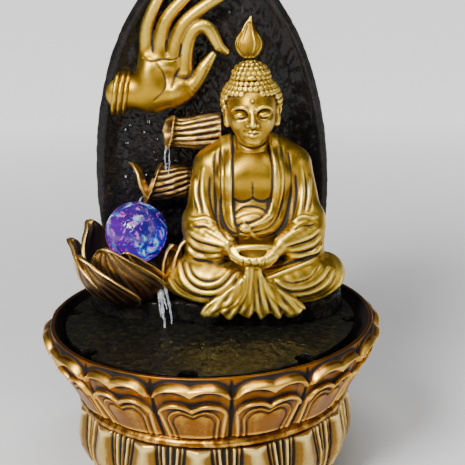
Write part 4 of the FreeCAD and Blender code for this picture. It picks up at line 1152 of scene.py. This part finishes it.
# %% Lotus bud
bud = Clay((14, 42, 254), (40, 60, 284), 0.4)
bud.lump((27, 52, 264.5), (9.2, 5.8, 7.8), 3)
bud.limb(((27, 52, 262), (27, 51.5, 272), (27.6, 52, 278), (28.6, 52.3, 281.4)), (7.0, 4.6, 2.0, 0.7), 3,
         flat=0.8)
for side in np.linspace(-1, 1, 15):
    strand = [(27 + side * 3.5, 257.3), (27 + side * 8.6, 264 + 0.5 * abs(side)), (27.4 + side * 5.8, 271),
              (28.1 + side * 1.9, 278)]
    bud.fold(strand, 1.25, -0.65, 0.5, 0.6)
clay_piece("bud", bud, (0, 0, 0), "upper_assembly", ["lotus_bud"], FIGURE_GOLD)

# %% [markdown]
# ## Seated figure: body
#
# The body is built up like a clay maquette: belly and chest, shoulders, sleeved arms, crossed legs.
# The open robe is a skin raised everywhere outside the bare chest, so its collar has a real edge.
# Then come the folds, each a curve in the front view with a width and a height, and the hem that
# hangs over the step.

# %% Body and limbs
FIGURE_X = 27.0


body = Clay((-60, -33, 103), (60, 46, 218), 0.72)
body.lump((0, 14, 160), (30, 24, 26), 6)
body.lump((0, 14, 186), (29, 19, 24), 6)
body.lump((0, 22, 135), (40, 22, 24), 6)
for side in (-1, 1):
    body.lump((side * 9.5, 1.5, 190), (12.5, 9.5, 12), 4)
    body.limb(((side * 3, 15, 206), (side * 14, 15, 203.5), (side * 23.5, 15, 196.5)), (8.6, 9.2, 9.4), 5)
    body.limb(((side * 24.6, 15, 194.5), (side * 27.6, 12, 184), (side * 30, 7, 172), (side * 30, 1, 163)),
              (10.2, 9.4, 9.0, 8.6), 4)
    body.limb(((side * 31, 2, 163), (side * 25, -9, 158), (side * 16, -16, 153.5)), (9.0, 6.6, 4.6), 3)
    body.limb(((side * 35.2, 2, 165), (side * 34.6, -2, 156), (side * 34.4, -5, 149)), (6.6, 7.6, 8.0), 5)
    body.limb(((side * 31, -4, 158), (side * 27, -10, 152), (side * 22, -13, 148.5)), (7.0, 6.0, 5.0), 4)
body.lump((0, 4, 192), (18, 11, 16), 4)
body.lump((0, -1, 164), (17, 12, 11), 4)
body.limb(((-42, -2, 131), (-30, -8, 130), (-8, -15, 128)), (13.8, 14.8, 11.5), 4)
body.limb(((42, -2, 130.5), (30, -8, 130.5), (8, -15, 128)), (13.4, 15.0, 11.5), 4)
body.limb(((-30, 10, 136), (0, 4, 130), (30, 10, 136)), (12, 18, 12), 6)
body.limb(((-40, 6, 121), (0, -4, 120), (40, 6, 121)), (9, 14, 9), 5)

# %% Open robe
where, (gx, gy, gz) = body.window(body.low, body.low + 200)
left_edge = np.interp(gz, (160, 166, 178, 212), (-10.5, -12, -13, -12.5))
right_edge = np.interp(gz, (164, 166.5, 169, 173, 178, 186, 200, 212), (-9, -1, 5.0, 9, 10.8, 12, 12, 9.5))
bare = soft_min(gx - left_edge, right_edge - gx, 4.0)
robe = 1.2 * smooth_step(0.6, -0.6, bare) + 0.5 * smooth_step(0.6, -0.6, bare) * smooth_step(-7.2, -6.0, bare)
body.field -= (robe * smooth_step(150, 160, gz) * smooth_step(24, 14, gy)).astype(np.float32)

# %% Collar, chest and sleeves
COLLAR = (
    (((-19.3, 208), (-19.8, 196), (-19.3, 181), (-19.6, 171), (-17, 163.5), (-11.5, 159.5), (-5.5, 163)),
     1.3, -0.75),
    (((-17.2, 208), (-17.6, 194), (-17.2, 180), (-17.6, 170), (-15, 164.6), (-11, 161.8)), 1.0, -0.45),
    (((-22.8, 205), (-23.6, 192), (-22.8, 178), (-22.6, 169), (-18.5, 161), (-11.5, 156.5), (-5, 158)), 1.2,
     -0.7),
    (((17.4, 208), (18.8, 196), (18.4, 184), (16.8, 174), (13.6, 167.5), (8, 162.6), (-1, 160.6),
      (-8, 160.6)), 1.3, -0.75),
    (((15.2, 208), (16.4, 194), (16, 183), (14.4, 174), (10.5, 167.5), (4, 164), (-3, 163.4)), 1.0, -0.45),
    (((21.6, 205), (23, 192), (22.4, 180), (20.2, 170), (16, 162), (10, 158), (3, 156.6)), 1.2, -0.7),
    (((-6.5, 166.5), (-2.5, 161), (0.5, 157.6), (4, 155.5)), 2.6, 0.9),
    (((-0.5, 190), (-0.5, 184), (-0.5, 179.5)), 1.3, -0.45),
    (((-12.5, 180), (-9, 177.6), (-4, 177.8), (-0.6, 179.8)), 1.3, -0.7),
    (((11, 180), (7, 177.4), (3, 177.6), (-0.4, 179.8)), 1.3, -0.7),
    (((-11.5, 170.6), (-7.5, 174.2), (-1, 175.2), (5.5, 173.6), (8.5, 171)), 1.2, -0.65),
    (((-10.5, 168.4), (-6.5, 171), (-1, 171.6), (4, 170.6)), 1.0, -0.35),
)
for curve, width, height in COLLAR:
    body.fold(curve, width, height, 0.7, 0.7)
KNOT_X, KNOT_Z = -5.5, 163.6
knot_depth = body.front(np.array([KNOT_X]), np.array([KNOT_Z]))[0]
body.lump((KNOT_X, knot_depth + 0.4, KNOT_Z), (3.6, 2.2, 2.8), 0.8, lean=-25)

SLEEVE = (
    (((-34.5, 190), (-34.6, 181), (-32, 172)), 3.4, 0.7),
          (((-29.5, 196), (-30.5, 184), (-29, 174), (-25.5, 166)), 3.4, 0.6),
    (((-31.8, 193), (-32.8, 182), (-30.6, 171.5)), 1.2, -0.6),
          (((-26, 192), (-26.4, 181), (-24, 170), (-20.5, 162.5)), 1.3, -0.65),
    (((-36.4, 186), (-36, 178), (-34, 171.5)), 1.1, -0.5),
          (((-39, 168.6), (-35, 167.8), (-29, 169), (-23, 166)), 2.6, 1.0),
    (((-38, 165.2), (-34, 164.0), (-29, 165.0), (-24.5, 163.0)), 1.3, -0.9),
    (((-39.5, 161.5), (-34.5, 158.5), (-27, 156.8), (-18.5, 155.0)), 2.4, 0.7),
          (((-40, 159.2), (-34.5, 156), (-27, 154.8), (-18.5, 153.4)), 1.1, -0.7),
    (((-40.5, 157), (-35, 153), (-28, 151.8), (-19.5, 151.4)), 2.6, 0.75),
          (((-41, 154.2), (-35.5, 150), (-28.5, 149), (-20.5, 149.6)), 1.2, -0.75),
    (((-41, 151.4), (-36, 147.4), (-30, 146.4), (-23, 147.6)), 2.6, 0.8),
          (((-40, 147.6), (-35, 144.4), (-28, 144.2), (-20, 146.6)), 1.4, -0.9),
    (((-31, 163), (-25, 160.2), (-18.6, 157)), 1.1, -0.5),
)
for curve, width, height in SLEEVE:
    body.fold(curve, width, height, 0.9)
    body.fold([(-x * 0.985, z - 0.6) for x, z in curve], width, height, 0.9)

# %% Hands in the lap
for side in (-1, 1):
    body.limb(((side * 17, -15, 153.5), (side * 12, -19, 150.5), (side * 7, -22, 148)), (4.4, 4.2, 3.6),
              1.5)
body.limb(((-12, -20.5, 149), (-5, -24.5, 147), (4, -25, 146.6), (11, -22, 148.6)), (3.4, 3.1, 3.0, 3.0),
          1.0)
body.limb(((-10, -21, 146.5), (-2, -24, 144.4), (6, -23.5, 144.6), (11, -21, 146.5)), (2.6, 2.6, 2.6, 2.2),
          0.6)
body.lump((-1.6, -21, 150.9), (8.4, 7, 2.1), 0.8, cut=True)
body.limb(((-13, -19.5, 152.4), (-8, -21.5, 153.8), (-1.4, -22.5, 154.4), (5, -21.5, 153.8),
           (10.5, -19.5, 152.4)),
          (2.3, 1.9, 1.7, 1.9, 2.3), 0.6)
for finger in ((-8, -6.5), (-3.2, -2.6), (1.4, 1.6), (6, 5.4)):
    body.fold([(finger[0], 149), (finger[1], 145.5), (finger[1] - 0.3, 143.2)], 1.0, -0.4, 0.4, 0.8)

# %% Robe over the legs
LEG_FOLDS = (
    (((-39, 146), (-36, 146.3), (-31, 146), (-19.5, 144), (-12.5, 141)), 2.8, 0.60),
    (((-40, 142.8), (-37, 137), (-30.5, 134), (-23, 135), (-15, 140)), 1.4, -0.74),
    (((-42, 142.8), (-38.5, 135.5), (-31.5, 131.5), (-22.5, 133), (-13, 141)), 3.0, 0.90),
    (((-44, 142.8), (-40.5, 134), (-32, 128.8), (-22, 130.2), (-12, 139.5)), 1.2, -0.81),
    (((-46, 142.8), (-42.8, 132), (-33, 126.5), (-21, 128), (-10.5, 138.5)), 3.0, 0.90),
    (((-49, 132), (-44, 127), (-34.5, 123.4), (-23.5, 124.9), (-15.5, 129.3), (-9, 137)), 1.6, -1.12),
    (((-52, 132), (-46.5, 124.8), (-35.5, 121), (-25, 121.5), (-15.5, 126), (-8.5, 134.5)), 3.8, 1.05),
    (((-53.5, 128), (-46, 120.5), (-36, 117.8), (-24, 118.4)), 1.1, -0.62),
    (((6, 143), (17.5, 145.2), (31, 146.5), (38.5, 148)), 2.8, 0.60),
    (((5, 138.4), (17.5, 141.4), (29, 144), (36.5, 146)), 1.2, -0.81),
    (((5.5, 134.6), (17.5, 138), (28, 141), (38.5, 144)), 3.0, 0.83),
    (((14.5, 135), (21.5, 132), (32, 134), (38.5, 140.3)), 1.2, -0.74),
    (((12, 134), (19.5, 129.3), (30.5, 129.3), (39, 133.5), (44.5, 138.5)), 3.0, 0.90),
    (((10.5, 134), (18, 127.6), (30.5, 126.6), (40.4, 131), (46, 137.6)), 1.1, -0.62),
    (((9, 134), (17, 126), (30.5, 124.2), (41.5, 128.5), (47.5, 136.5)), 2.5, 0.75),
    (((7.5, 132.7), (15.5, 124), (28, 121.4), (41.5, 123.4), (48.5, 132.5)), 1.5, -0.99),
    (((6, 130.5), (14, 121.5), (28, 119), (41.5, 120.3), (50.5, 126), (53, 131.5)), 3.8, 1.05),
    (((22, 116.6), (32, 115.8), (44, 117), (52, 123)), 1.1, -0.62),
)
for curve, width, height in LEG_FOLDS:
    body.fold(curve, width, height, 0.9)

# %% Hem over the step
HEM = ((-33, 116), (-27.5, 113.6), (-21.5, 116), (-17, 111), (-11, 115), (-5, 111.5), (-0.5, 115.5),
       (3, 110.3), (7.5, 114.5),
       (13.5, 111), (17.5, 114.8), (23, 112.4), (28, 116))
hem_x, hem_z = flowing(np.array(HEM, float)).T
where, (gx, gy, gz) = body.window((-36, -33, 104), (32, 10, 142))
spread = smooth_step(141, 114, gz)
half_wide = 4.5 + 27.5 * spread
low_edge = np.interp(gx, hem_x, hem_z)
pleat = 0.7 * np.cos(np.arctan2(gx + 1, 150 - gz) * 44)
sheet = np.abs(gy + 23.6 + 2.6 * spread - pleat * spread) - 2.6
sheet = -soft_min(-sheet, soft_min(half_wide - np.abs(gx + 1.5), (gz - low_edge) * 0.9, 1.5), 1.5)
body.blend(where, np.broadcast_to(sheet, body.field[where].shape).astype(np.float32), 1.5, False)
FAN = (((-8.5, 139), (-9.5, 130), (-15.5, 122), (-28, 116.5)),
       ((-7, 139), (-7, 130), (-12.5, 120.5), (-21.5, 116.3)),
       ((-4.5, 140.5), (-5.5, 130), (-9, 122), (-16, 112.5)),
       ((-2, 141.5), (-3.5, 129.5), (-5, 122), (-9.5, 114)),
       ((0.5, 141.5), (-0.5, 131), (-0.5, 122), (-2, 112.5)),
       ((2.5, 140.5), (3.5, 129.5), (5, 121.5), (6, 113)),
       ((4, 136), (7, 126.5), (10.5, 119.5), (13.5, 112.5)),
       ((5, 133), (10, 124), (16.5, 118.5), (24, 114)))
for curve in FAN:
    body.fold(curve, 4.0, 0.7, 1.6)
for (x, z), (next_x, next_z) in zip(HEM[:-1], HEM[1:]):
    scallop = (x + 0.5 * (next_x - x), min(z, next_z) + 1.6)
    depth = body.front(np.array([scallop[0]]), np.array([scallop[1]]))[0]
    if depth < 50:
        body.lump((scallop[0], depth + 0.6, scallop[1]), (3.0, 1.6, 2.4), 0.8)
for a, b in zip(FAN[:-1], FAN[1:]):
    body.fold([((p[0] + q[0]) / 2, (p[1] + q[1]) / 2) for p, q in zip(a, b)], 1.1, -0.5, 0.6)
clay_piece("seated_figure_body", body, (FIGURE_X, 0, 0), "upper_assembly",
           ["seated_figure"],
                    FIGURE_GOLD, 0.85)

# %% [markdown]
# ## Seated figure: head
#
# The head is a separate, finer block with closed lids and a small calm mouth. The hair is rows of
# snail curls on the scalp and on the topknot.

# %% Head
# A drawing-book ear runs from the brow to the base of the nose; the lobe here is longer by a third.
BROW_Z, NOSE_BASE_Z = 235.4, 225.0
EAR = ((0.0, 14.4, 4.0, 1.4), (0.2, 15.6, 3.4, 2.2), (0.5, 15.2, 2.8, 1.7), (0.8, 14.8, 2.4, 2.0),
       (1.0, 14.4, 2.0, 2.2))                 # part of the way down, x, y, radius
EAR_TOP = BROW_Z - EAR[0][3]
EAR_FOOT = NOSE_BASE_Z - (BROW_Z - NOSE_BASE_Z) / 3 + EAR[-1][3]
head = Clay((-24, -24, 203), (24, 32, 264), 0.42)
head.lump((0, 7, 234.5), (14.7, 19.4, 15.5), 4)
head.lump((0, 0.5, 226), (12.4, 14.6, 13.2), 6)
head.lump((0, -7, 218.5), (7.4, 7.5, 5.8), 5)
head.lump((0, 9, 250.6), (9.8, 10.2, 7.8), 2)
head.limb(((0, 10, 203), (0, 9, 214), (0, 9, 222)), (11.5, 9.4, 9.0), 4)
for side in (-1, 1):
    head.lump((side * 7.4, -6.5, 226), (5.0, 6.8, 6.2), 3.5)
    head.lump((side * 6.6, -10.9, 231.0), (4.8, 3.0, 2.8), 2.0, cut=True)
    head.lump((side * 6.5, -9.4, 230.6), (4.4, 4.1, 2.8), 0.9)
    head.limb(((side * 1.8, -13.5, 233.2), (side * 5, -14.0, 235.4), (side * 9, -12.2, 235.2),
               (side * 11.8, -8.6, 232.8)),
              (0.9, 1.0, 0.9, 0.6), 1.6)
    head.limb([(side * x, y, EAR_TOP + (EAR_FOOT - EAR_TOP) * part) for part, x, y, _ in EAR],
              [row[3] for row in EAR], 1.0, flat=1.5)
    head.lump((side * 16.8, 0.4, 231), (1.2, 2.6, 3.2), 0.6, cut=True)
head.limb(((0, -12.6, 234.5), (0, -15.4, 230), (0, -17.6, 226.0)), (1.3, 1.5, 2.0), 1.8)
for side in (-1, 1):
    head.lump((side * 2.3, -14.9, 225.3), (1.7, 2.2, 1.5), 1.0)
head.lump((0, -13.6, 220.6), (5.0, 2.6, 3.2), 2.2)
head.limb(((-3.9, -14.2, 221.3), (-1.4, -16.2, 221.8), (0, -16.1, 221.4), (1.4, -16.2, 221.8),
           (3.9, -14.2, 221.3)),
          (0.5, 0.95, 0.85, 0.95, 0.5), 0.5)
head.limb(((-3.1, -14.4, 219.9), (0, -16.0, 219.2), (3.1, -14.4, 219.9)), (0.6, 1.25, 0.6), 0.5)
head.lump((0, -12.6, 215.6), (4.2, 3.2, 2.8), 2.0)
for side in (-1, 1):
    head.fold([(side * 2.6, 230.2), (side * 5, 229.0), (side * 8, 229.1), (side * 10.8, 230.6)], 0.9, -0.7,
              0.3, 0.5)
    head.fold([(side * 2.8, 232.6), (side * 6, 233.9), (side * 9.6, 233.0)], 0.7, -0.4, 0.4, 0.5)
head.fold([(-3.8, 220.8), (-1.3, 220.9), (0, 220.6), (1.3, 220.9), (3.8, 220.8)], 0.7, -0.6, 0.3, 0.6)
head.lump((0, -12.6, 239.0), (1.1, 1.6, 1.1), 0.4)
for low, dip in ((211.8, 3.5), (209.0, 3.5)):
    head.fold([(-9.5, low + dip), (-5, low + 0.8), (0, low), (5, low + 0.8), (9.5, low + dip)], 1.1, -0.5,
              0.6)


# %% Snail curls
def curl_spots(centre, radii, low, high, spacing):
    """Points on an ellipsoid in level rows: angle steps of spacing / row radius, odd rows shifted."""
    spots = []
    tilt = low
    row = 0
    while tilt < high:
        ring = math.cos(tilt)
        count = max(int(TAU * ring * (radii[0] + radii[1]) / 2 / spacing), 1)
        for a in (np.arange(count) + 0.5 * (row % 2)) / count * TAU:
            spots.append((centre[0] + radii[0] * ring * math.cos(a),
                          centre[1] + radii[1] * ring * math.sin(a),
                          centre[2] + radii[2] * math.sin(tilt)))
        tilt += spacing * 0.9 / radii[2]
        row += 1
    return spots


head.lump((0, 9.8, 237), (16.4, 18.6, 13.0), 1.0)
scalp = curl_spots((0, 9.2, 236), (16.9, 20.6, 15.2), -0.75, 1.35, 3.3)
topknot = curl_spots((0, 9, 250.3), (10.2, 10.8, 7.8), 0.0, 1.4, 3.0)
for x, y, z in scalp + topknot:
    hairline = 241.6 + 0.9 * math.cos(x / 6) if y < -1 else 241.6 - 3.1 * (y + 1)
    if z > hairline or y > 9:
        head.lump((x, y, z), (1.9, 1.9, 1.9), 0.3)
        out = np.array([x, y - 9, z - 238.0])
        out = out / np.linalg.norm(out)
        head.lump(tuple(np.array([x, y, z]) + 1.9 * out), (0.6, 0.6, 0.6), 0.3, cut=True)
head.lump((0, -2.6, 250.4), (3.0, 1.8, 1.7), 0.4)
clay_piece("seated_figure_head", head, (FIGURE_X, 0, 0), "upper_assembly", (), FIGURE_GOLD,
           1.0)

# %% [markdown]
# ## Running water
#
# Water leaves the upper leaf, lands in the lower one, drips on the ball and spills through the
# notch of the cup on to the deck. Each stream is a thin tube whose radius wavers along its fall,
# so it breaks the light like real water; the spill is four strands side by side.

# %% Water streams
def clear_water():
    """Clear, almost white water."""
    material, tree, shader = principled("running water")
    where = node(tree, "ShaderNodeTexCoord").outputs["Object"]
    streak = noise_node(tree, where, 260.0, 2.0, 0.5, 0.5)
    tree.links.new(mix_colour(tree, remap(tree, streak, 0.4, 0.6), (0.55, 0.62, 0.75), (1.0, 1.0, 1.0)),
                   shader.inputs["Base Color"])
    shader.inputs["Transmission Weight"].default_value = 0.75
    shader.inputs["IOR"].default_value = 1.33
    shader.inputs["Roughness"].default_value = 0.08
    return material


def stream(path, radii, seed):
    """Closed tube along a path: radius r (1 + 0.35 noise), flattened towards the front."""
    path = flowing(np.concatenate([np.array(path, float), np.array(radii, float)[:, None]], 1), 14)
    angle = (np.arange(20) / 20 * TAU)[None, :]
    s = np.arange(len(path))[:, None] / 3.0
    waver = 1 + 0.35 * lattice_noise(s, 0 * s + seed, 0 * s, 1.0,
                                     81) + 0.15 * lattice_noise(s, angle, 0 * s + seed, 0.7, 82)
    radius = 0.62 * path[:, 3:] * waver
    radius[0], radius[-1] = 0, 0
    drift = 0.35 * lattice_noise(s, 0 * s + 9 + seed, 0 * s, 2.0, 83)
    return np.stack([path[:, :1] + drift + radius * np.cos(angle),
                     path[:, 1:2] - 0.7 * radius * np.sin(angle),
                     path[:, 2:3] + 0 * angle], -1)


STREAMS = (
    (((-26.5, 40, 203.5), (-27.5, 37, 198), (-27.2, 35.5, 190), (-28.5, 35, 182), (-30, 35.5, 176)),
     (0.9, 1.1, 0.7, 0.9, 0.5)),
    (((-25.0, 37, 203), (-24.6, 35, 196), (-25.3, 34, 188), (-27, 34, 178)), (0.3, 0.6, 0.4, 0.4)),
    (((-41, 37, 171.5), (-43, 31, 172.5), (-44, 27, 171), (-44.4, 24, 169)), (0.6, 1.1, 0.8, 0.6)),
    (((-34, 1, 133), (-31.5, -8, 128), (-30.2, -13, 120), (-28.8, -18, 111), (-27.8, -22, 104.3)),
     (0.8, 2.0, 1.9, 1.4, 1.0)),
    (((-32, 1, 132), (-28.4, -8, 127), (-26, -12, 119), (-24.6, -15, 112), (-23.8, -18, 105)),
     (0.6, 1.7, 1.6, 1.0, 0.5)),
    (((-32.6, 0, 131.5), (-30.4, -8, 126.4), (-28, -12.5, 119), (-26.8, -16, 114)), (0.4, 1.4, 1.0, 0.4)),
    (((-33.6, 1, 132), (-32.4, -8, 127.4), (-31.4, -13, 119), (-30.4, -18, 110)), (0.4, 0.8, 0.7, 0.4)),
)
tubes = [stream(path, radii, seed) for seed, (path, radii) in enumerate(STREAMS)]
points, faces, relief = joined([(tube, np.zeros(tube.shape[:2])) for tube in tubes])
water = build("running_water", points, faces, "upper_assembly", relief)
water.data.materials.append(clear_water())

# %% [markdown]
# ## The working parts
#
# The pump, hoses, lamp, feet and rear cover keep their CAD shapes, which are already right, and only
# get materials: moulded plastic with a fine grain, rubber, clear hose, wound copper, brushed steel,
# foam and so on. One function makes them all from a base look, a grain size and a bump.

# %% Materials of the CAD nodes
def part_material(name, dark, light, grain, roughness, metal=0.0, bump=0.2, depth=0.0003, stretch=(1, 1, 1),
                  clear=0.0):
    """Two-colour grained material; stretch pulls the grain out along an axis."""
    material, tree, shader = principled(name)
    where = node(tree, "ShaderNodeTexCoord").outputs["Object"]
    pulled = node(tree, "ShaderNodeMapping")
    pulled.inputs["Scale"].default_value = stretch
    tree.links.new(where, pulled.inputs["Vector"])
    fine = noise_node(tree, pulled.outputs["Vector"], grain, 3.0, 0.6)
    tree.links.new(mix_colour(tree, remap(tree, fine, 0.35, 0.65), dark, light),
                   shader.inputs["Base Color"])
    tree.links.new(remap(tree, fine, 0.3, 0.7, roughness - 0.06, roughness + 0.08),
                   shader.inputs["Roughness"])
    shader.inputs["Metallic"].default_value = metal
    shader.inputs["Transmission Weight"].default_value = clear
    add_bump(tree, shader, fine, bump, depth)
    return material


BLACK_PLASTIC = part_material("moulded black plastic", (0.010, 0.010, 0.011), (0.020, 0.020, 0.021), 1800,
                              0.42)
WHITE_PLASTIC = part_material("moulded white plastic", (0.62, 0.62, 0.60), (0.72, 0.72, 0.70), 1500, 0.38)
RUBBER = part_material("grey rubber", (0.055, 0.055, 0.057), (0.085, 0.085, 0.086), 1200, 0.72)
CLEAR_HOSE = part_material("clear hose", (0.80, 0.84, 0.84), (0.90, 0.92, 0.92), 600, 0.14, bump=0.1,
                           clear=0.85)
CLEAR_LENS = part_material("clear lens", (0.85, 0.88, 0.92), (0.92, 0.94, 0.97), 500, 0.10, bump=0.05,
                           clear=0.9)
FOAM = part_material("filter foam", (0.012, 0.013, 0.015), (0.07, 0.075, 0.08), 1400, 0.92, bump=1.0,
                     depth=0.0012)
COPPER = part_material("wound copper", (0.42, 0.13, 0.045), (0.80, 0.33, 0.14), 900, 0.32, 1.0, 0.9, 0.0006,
                       (8, 0.4, 0.4))
IRON = part_material("stamped iron", (0.16, 0.16, 0.165), (0.30, 0.30, 0.31), 900, 0.45, 1.0, 0.4, 0.0003,
                     (10, 1, 1))
FERRITE = part_material("sintered ferrite", (0.030, 0.028, 0.028), (0.060, 0.056, 0.054), 1600, 0.55, 0.3)
CERAMIC = part_material("shaft ceramic", (0.74, 0.72, 0.68), (0.84, 0.82, 0.78), 900, 0.25, bump=0.08)
BOARD_GREEN = part_material("lamp board", (0.006, 0.075, 0.025), (0.012, 0.13, 0.045), 700, 0.35)
STEEL = part_material("screw steel", (0.42, 0.42, 0.43), (0.62, 0.62, 0.63), 1200, 0.30, 1.0, 0.3, 0.0002,
                      (1, 6, 1))
WORKING_PARTS = {
    "foot_pads": RUBBER, "cable_grommet": RUBBER, "suction_cups": RUBBER, "lamp_seal": RUBBER,
                 "pump_gland": RUBBER,
    "pump_housing": BLACK_PLASTIC, "pump_volute": BLACK_PLASTIC, "pump_cover": BLACK_PLASTIC,
    "rear_cover": BLACK_PLASTIC, "lamp_housing": BLACK_PLASTIC, "tee_fitting": BLACK_PLASTIC,
    "impeller_blades": WHITE_PLASTIC, "flow_dial": WHITE_PLASTIC, "jet_nozzle": BLACK_PLASTIC,
    "riser_hose": CLEAR_HOSE, "spout_hose": CLEAR_HOSE, "jet_hose": CLEAR_HOSE, "lamp_lens": CLEAR_LENS,
    "filter_sponge": FOAM, "pump_coil": COPPER, "pump_stator": IRON, "impeller_magnet": FERRITE,
    "pump_shaft": CERAMIC, "lamp_board": BOARD_GREEN, "cover_screws": STEEL,
}
for name, material in WORKING_PARTS.items():
    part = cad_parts[name]
    for index in range(len(part.material_slots)):
        part.material_slots[index].material = material
print("CAD nodes with new materials:", len(WORKING_PARTS))

# %% [markdown]
# ## Floor, light and camera
#
# A pale floor that brightens away from the fountain, so the backdrop is white while the black rock
# stays black. One soft key from the upper left makes the highlights, a weak fill and a narrow top
# light keep the folds readable. The camera looks slightly down from the front.

# %% Floor
def pale_floor():
    """Large pale plane, staged rather than part of the object."""
    material, tree, shader = principled("pale floor")
    shader.inputs["Base Color"].default_value = (0.85, 0.85, 0.85, 1)
    shader.inputs["Roughness"].default_value = 0.9
    where = node(tree, "ShaderNodeTexCoord").outputs["Object"]
    reach = node(tree, "ShaderNodeVectorMath", operation="LENGTH")
    tree.links.new(where, reach.inputs[0])
    glow = remap(tree, reach.outputs["Value"], 0.3, 1.3)
    tree.links.new(mix_colour(tree, glow, (0.05, 0.05, 0.05), (1.0, 1.0, 1.0)),
                   shader.inputs["Emission Color"])
    shader.inputs["Emission Strength"].default_value = 1.3
    mesh = bpy.data.meshes.new("floor")
    mesh.from_pydata([(-16, -16, 0), (16, -16, 0), (16, 16, 0), (-16, 16, 0)], [], [(0, 1, 2, 3)])
    mesh.materials.append(material)
    floor = bpy.data.objects.new("floor", mesh)
    bpy.context.scene.collection.objects.link(floor)


# %% Lights and camera
def soft_box(name, place, size, power, colour=(1, 1, 1)):
    """Area light aimed at the middle of the fountain."""
    light = bpy.data.lights.new(name, "AREA")
    light.shape = "RECTANGLE"
    light.size, light.size_y = size
    light.energy = power
    light.color = colour
    box = bpy.data.objects.new(name, light)
    bpy.context.scene.collection.objects.link(box)
    box.location = place
    box.rotation_euler = (Vector((0, 0, 0.16)) - Vector(place)).to_track_quat("-Z", "Y").to_euler()


pale_floor()
soft_box("key", (-0.45, -0.75, 0.85), (0.35, 0.35), 19.0)
soft_box("fill", (0.9, -0.5, 0.4), (0.3, 0.6), 1.6)
soft_box("top", (0.1, -0.25, 1.0), (0.5, 0.25), 5.0)
world = bpy.data.worlds.new("studio")
bpy.context.scene.world = world
world.use_nodes = True
world.node_tree.nodes["Background"].inputs["Color"].default_value = (1, 1, 1, 1)
world.node_tree.nodes["Background"].inputs["Strength"].default_value = 0.08

camera_data = bpy.data.cameras.new("camera")
camera_data.sensor_width = 36.0
camera_data.lens = 77.42
camera_data.clip_end = 60
camera = bpy.data.objects.new("camera", camera_data)
bpy.context.scene.collection.objects.link(camera)
camera.matrix_world = (Matrix.Translation((0.014, -0.583, 0.3297)) @ Matrix.Rotation(math.radians(90 - 16.5), 4, "X")
                       @ Matrix.Rotation(math.radians(-1.3), 4, "Z"))
bpy.context.scene.camera = camera
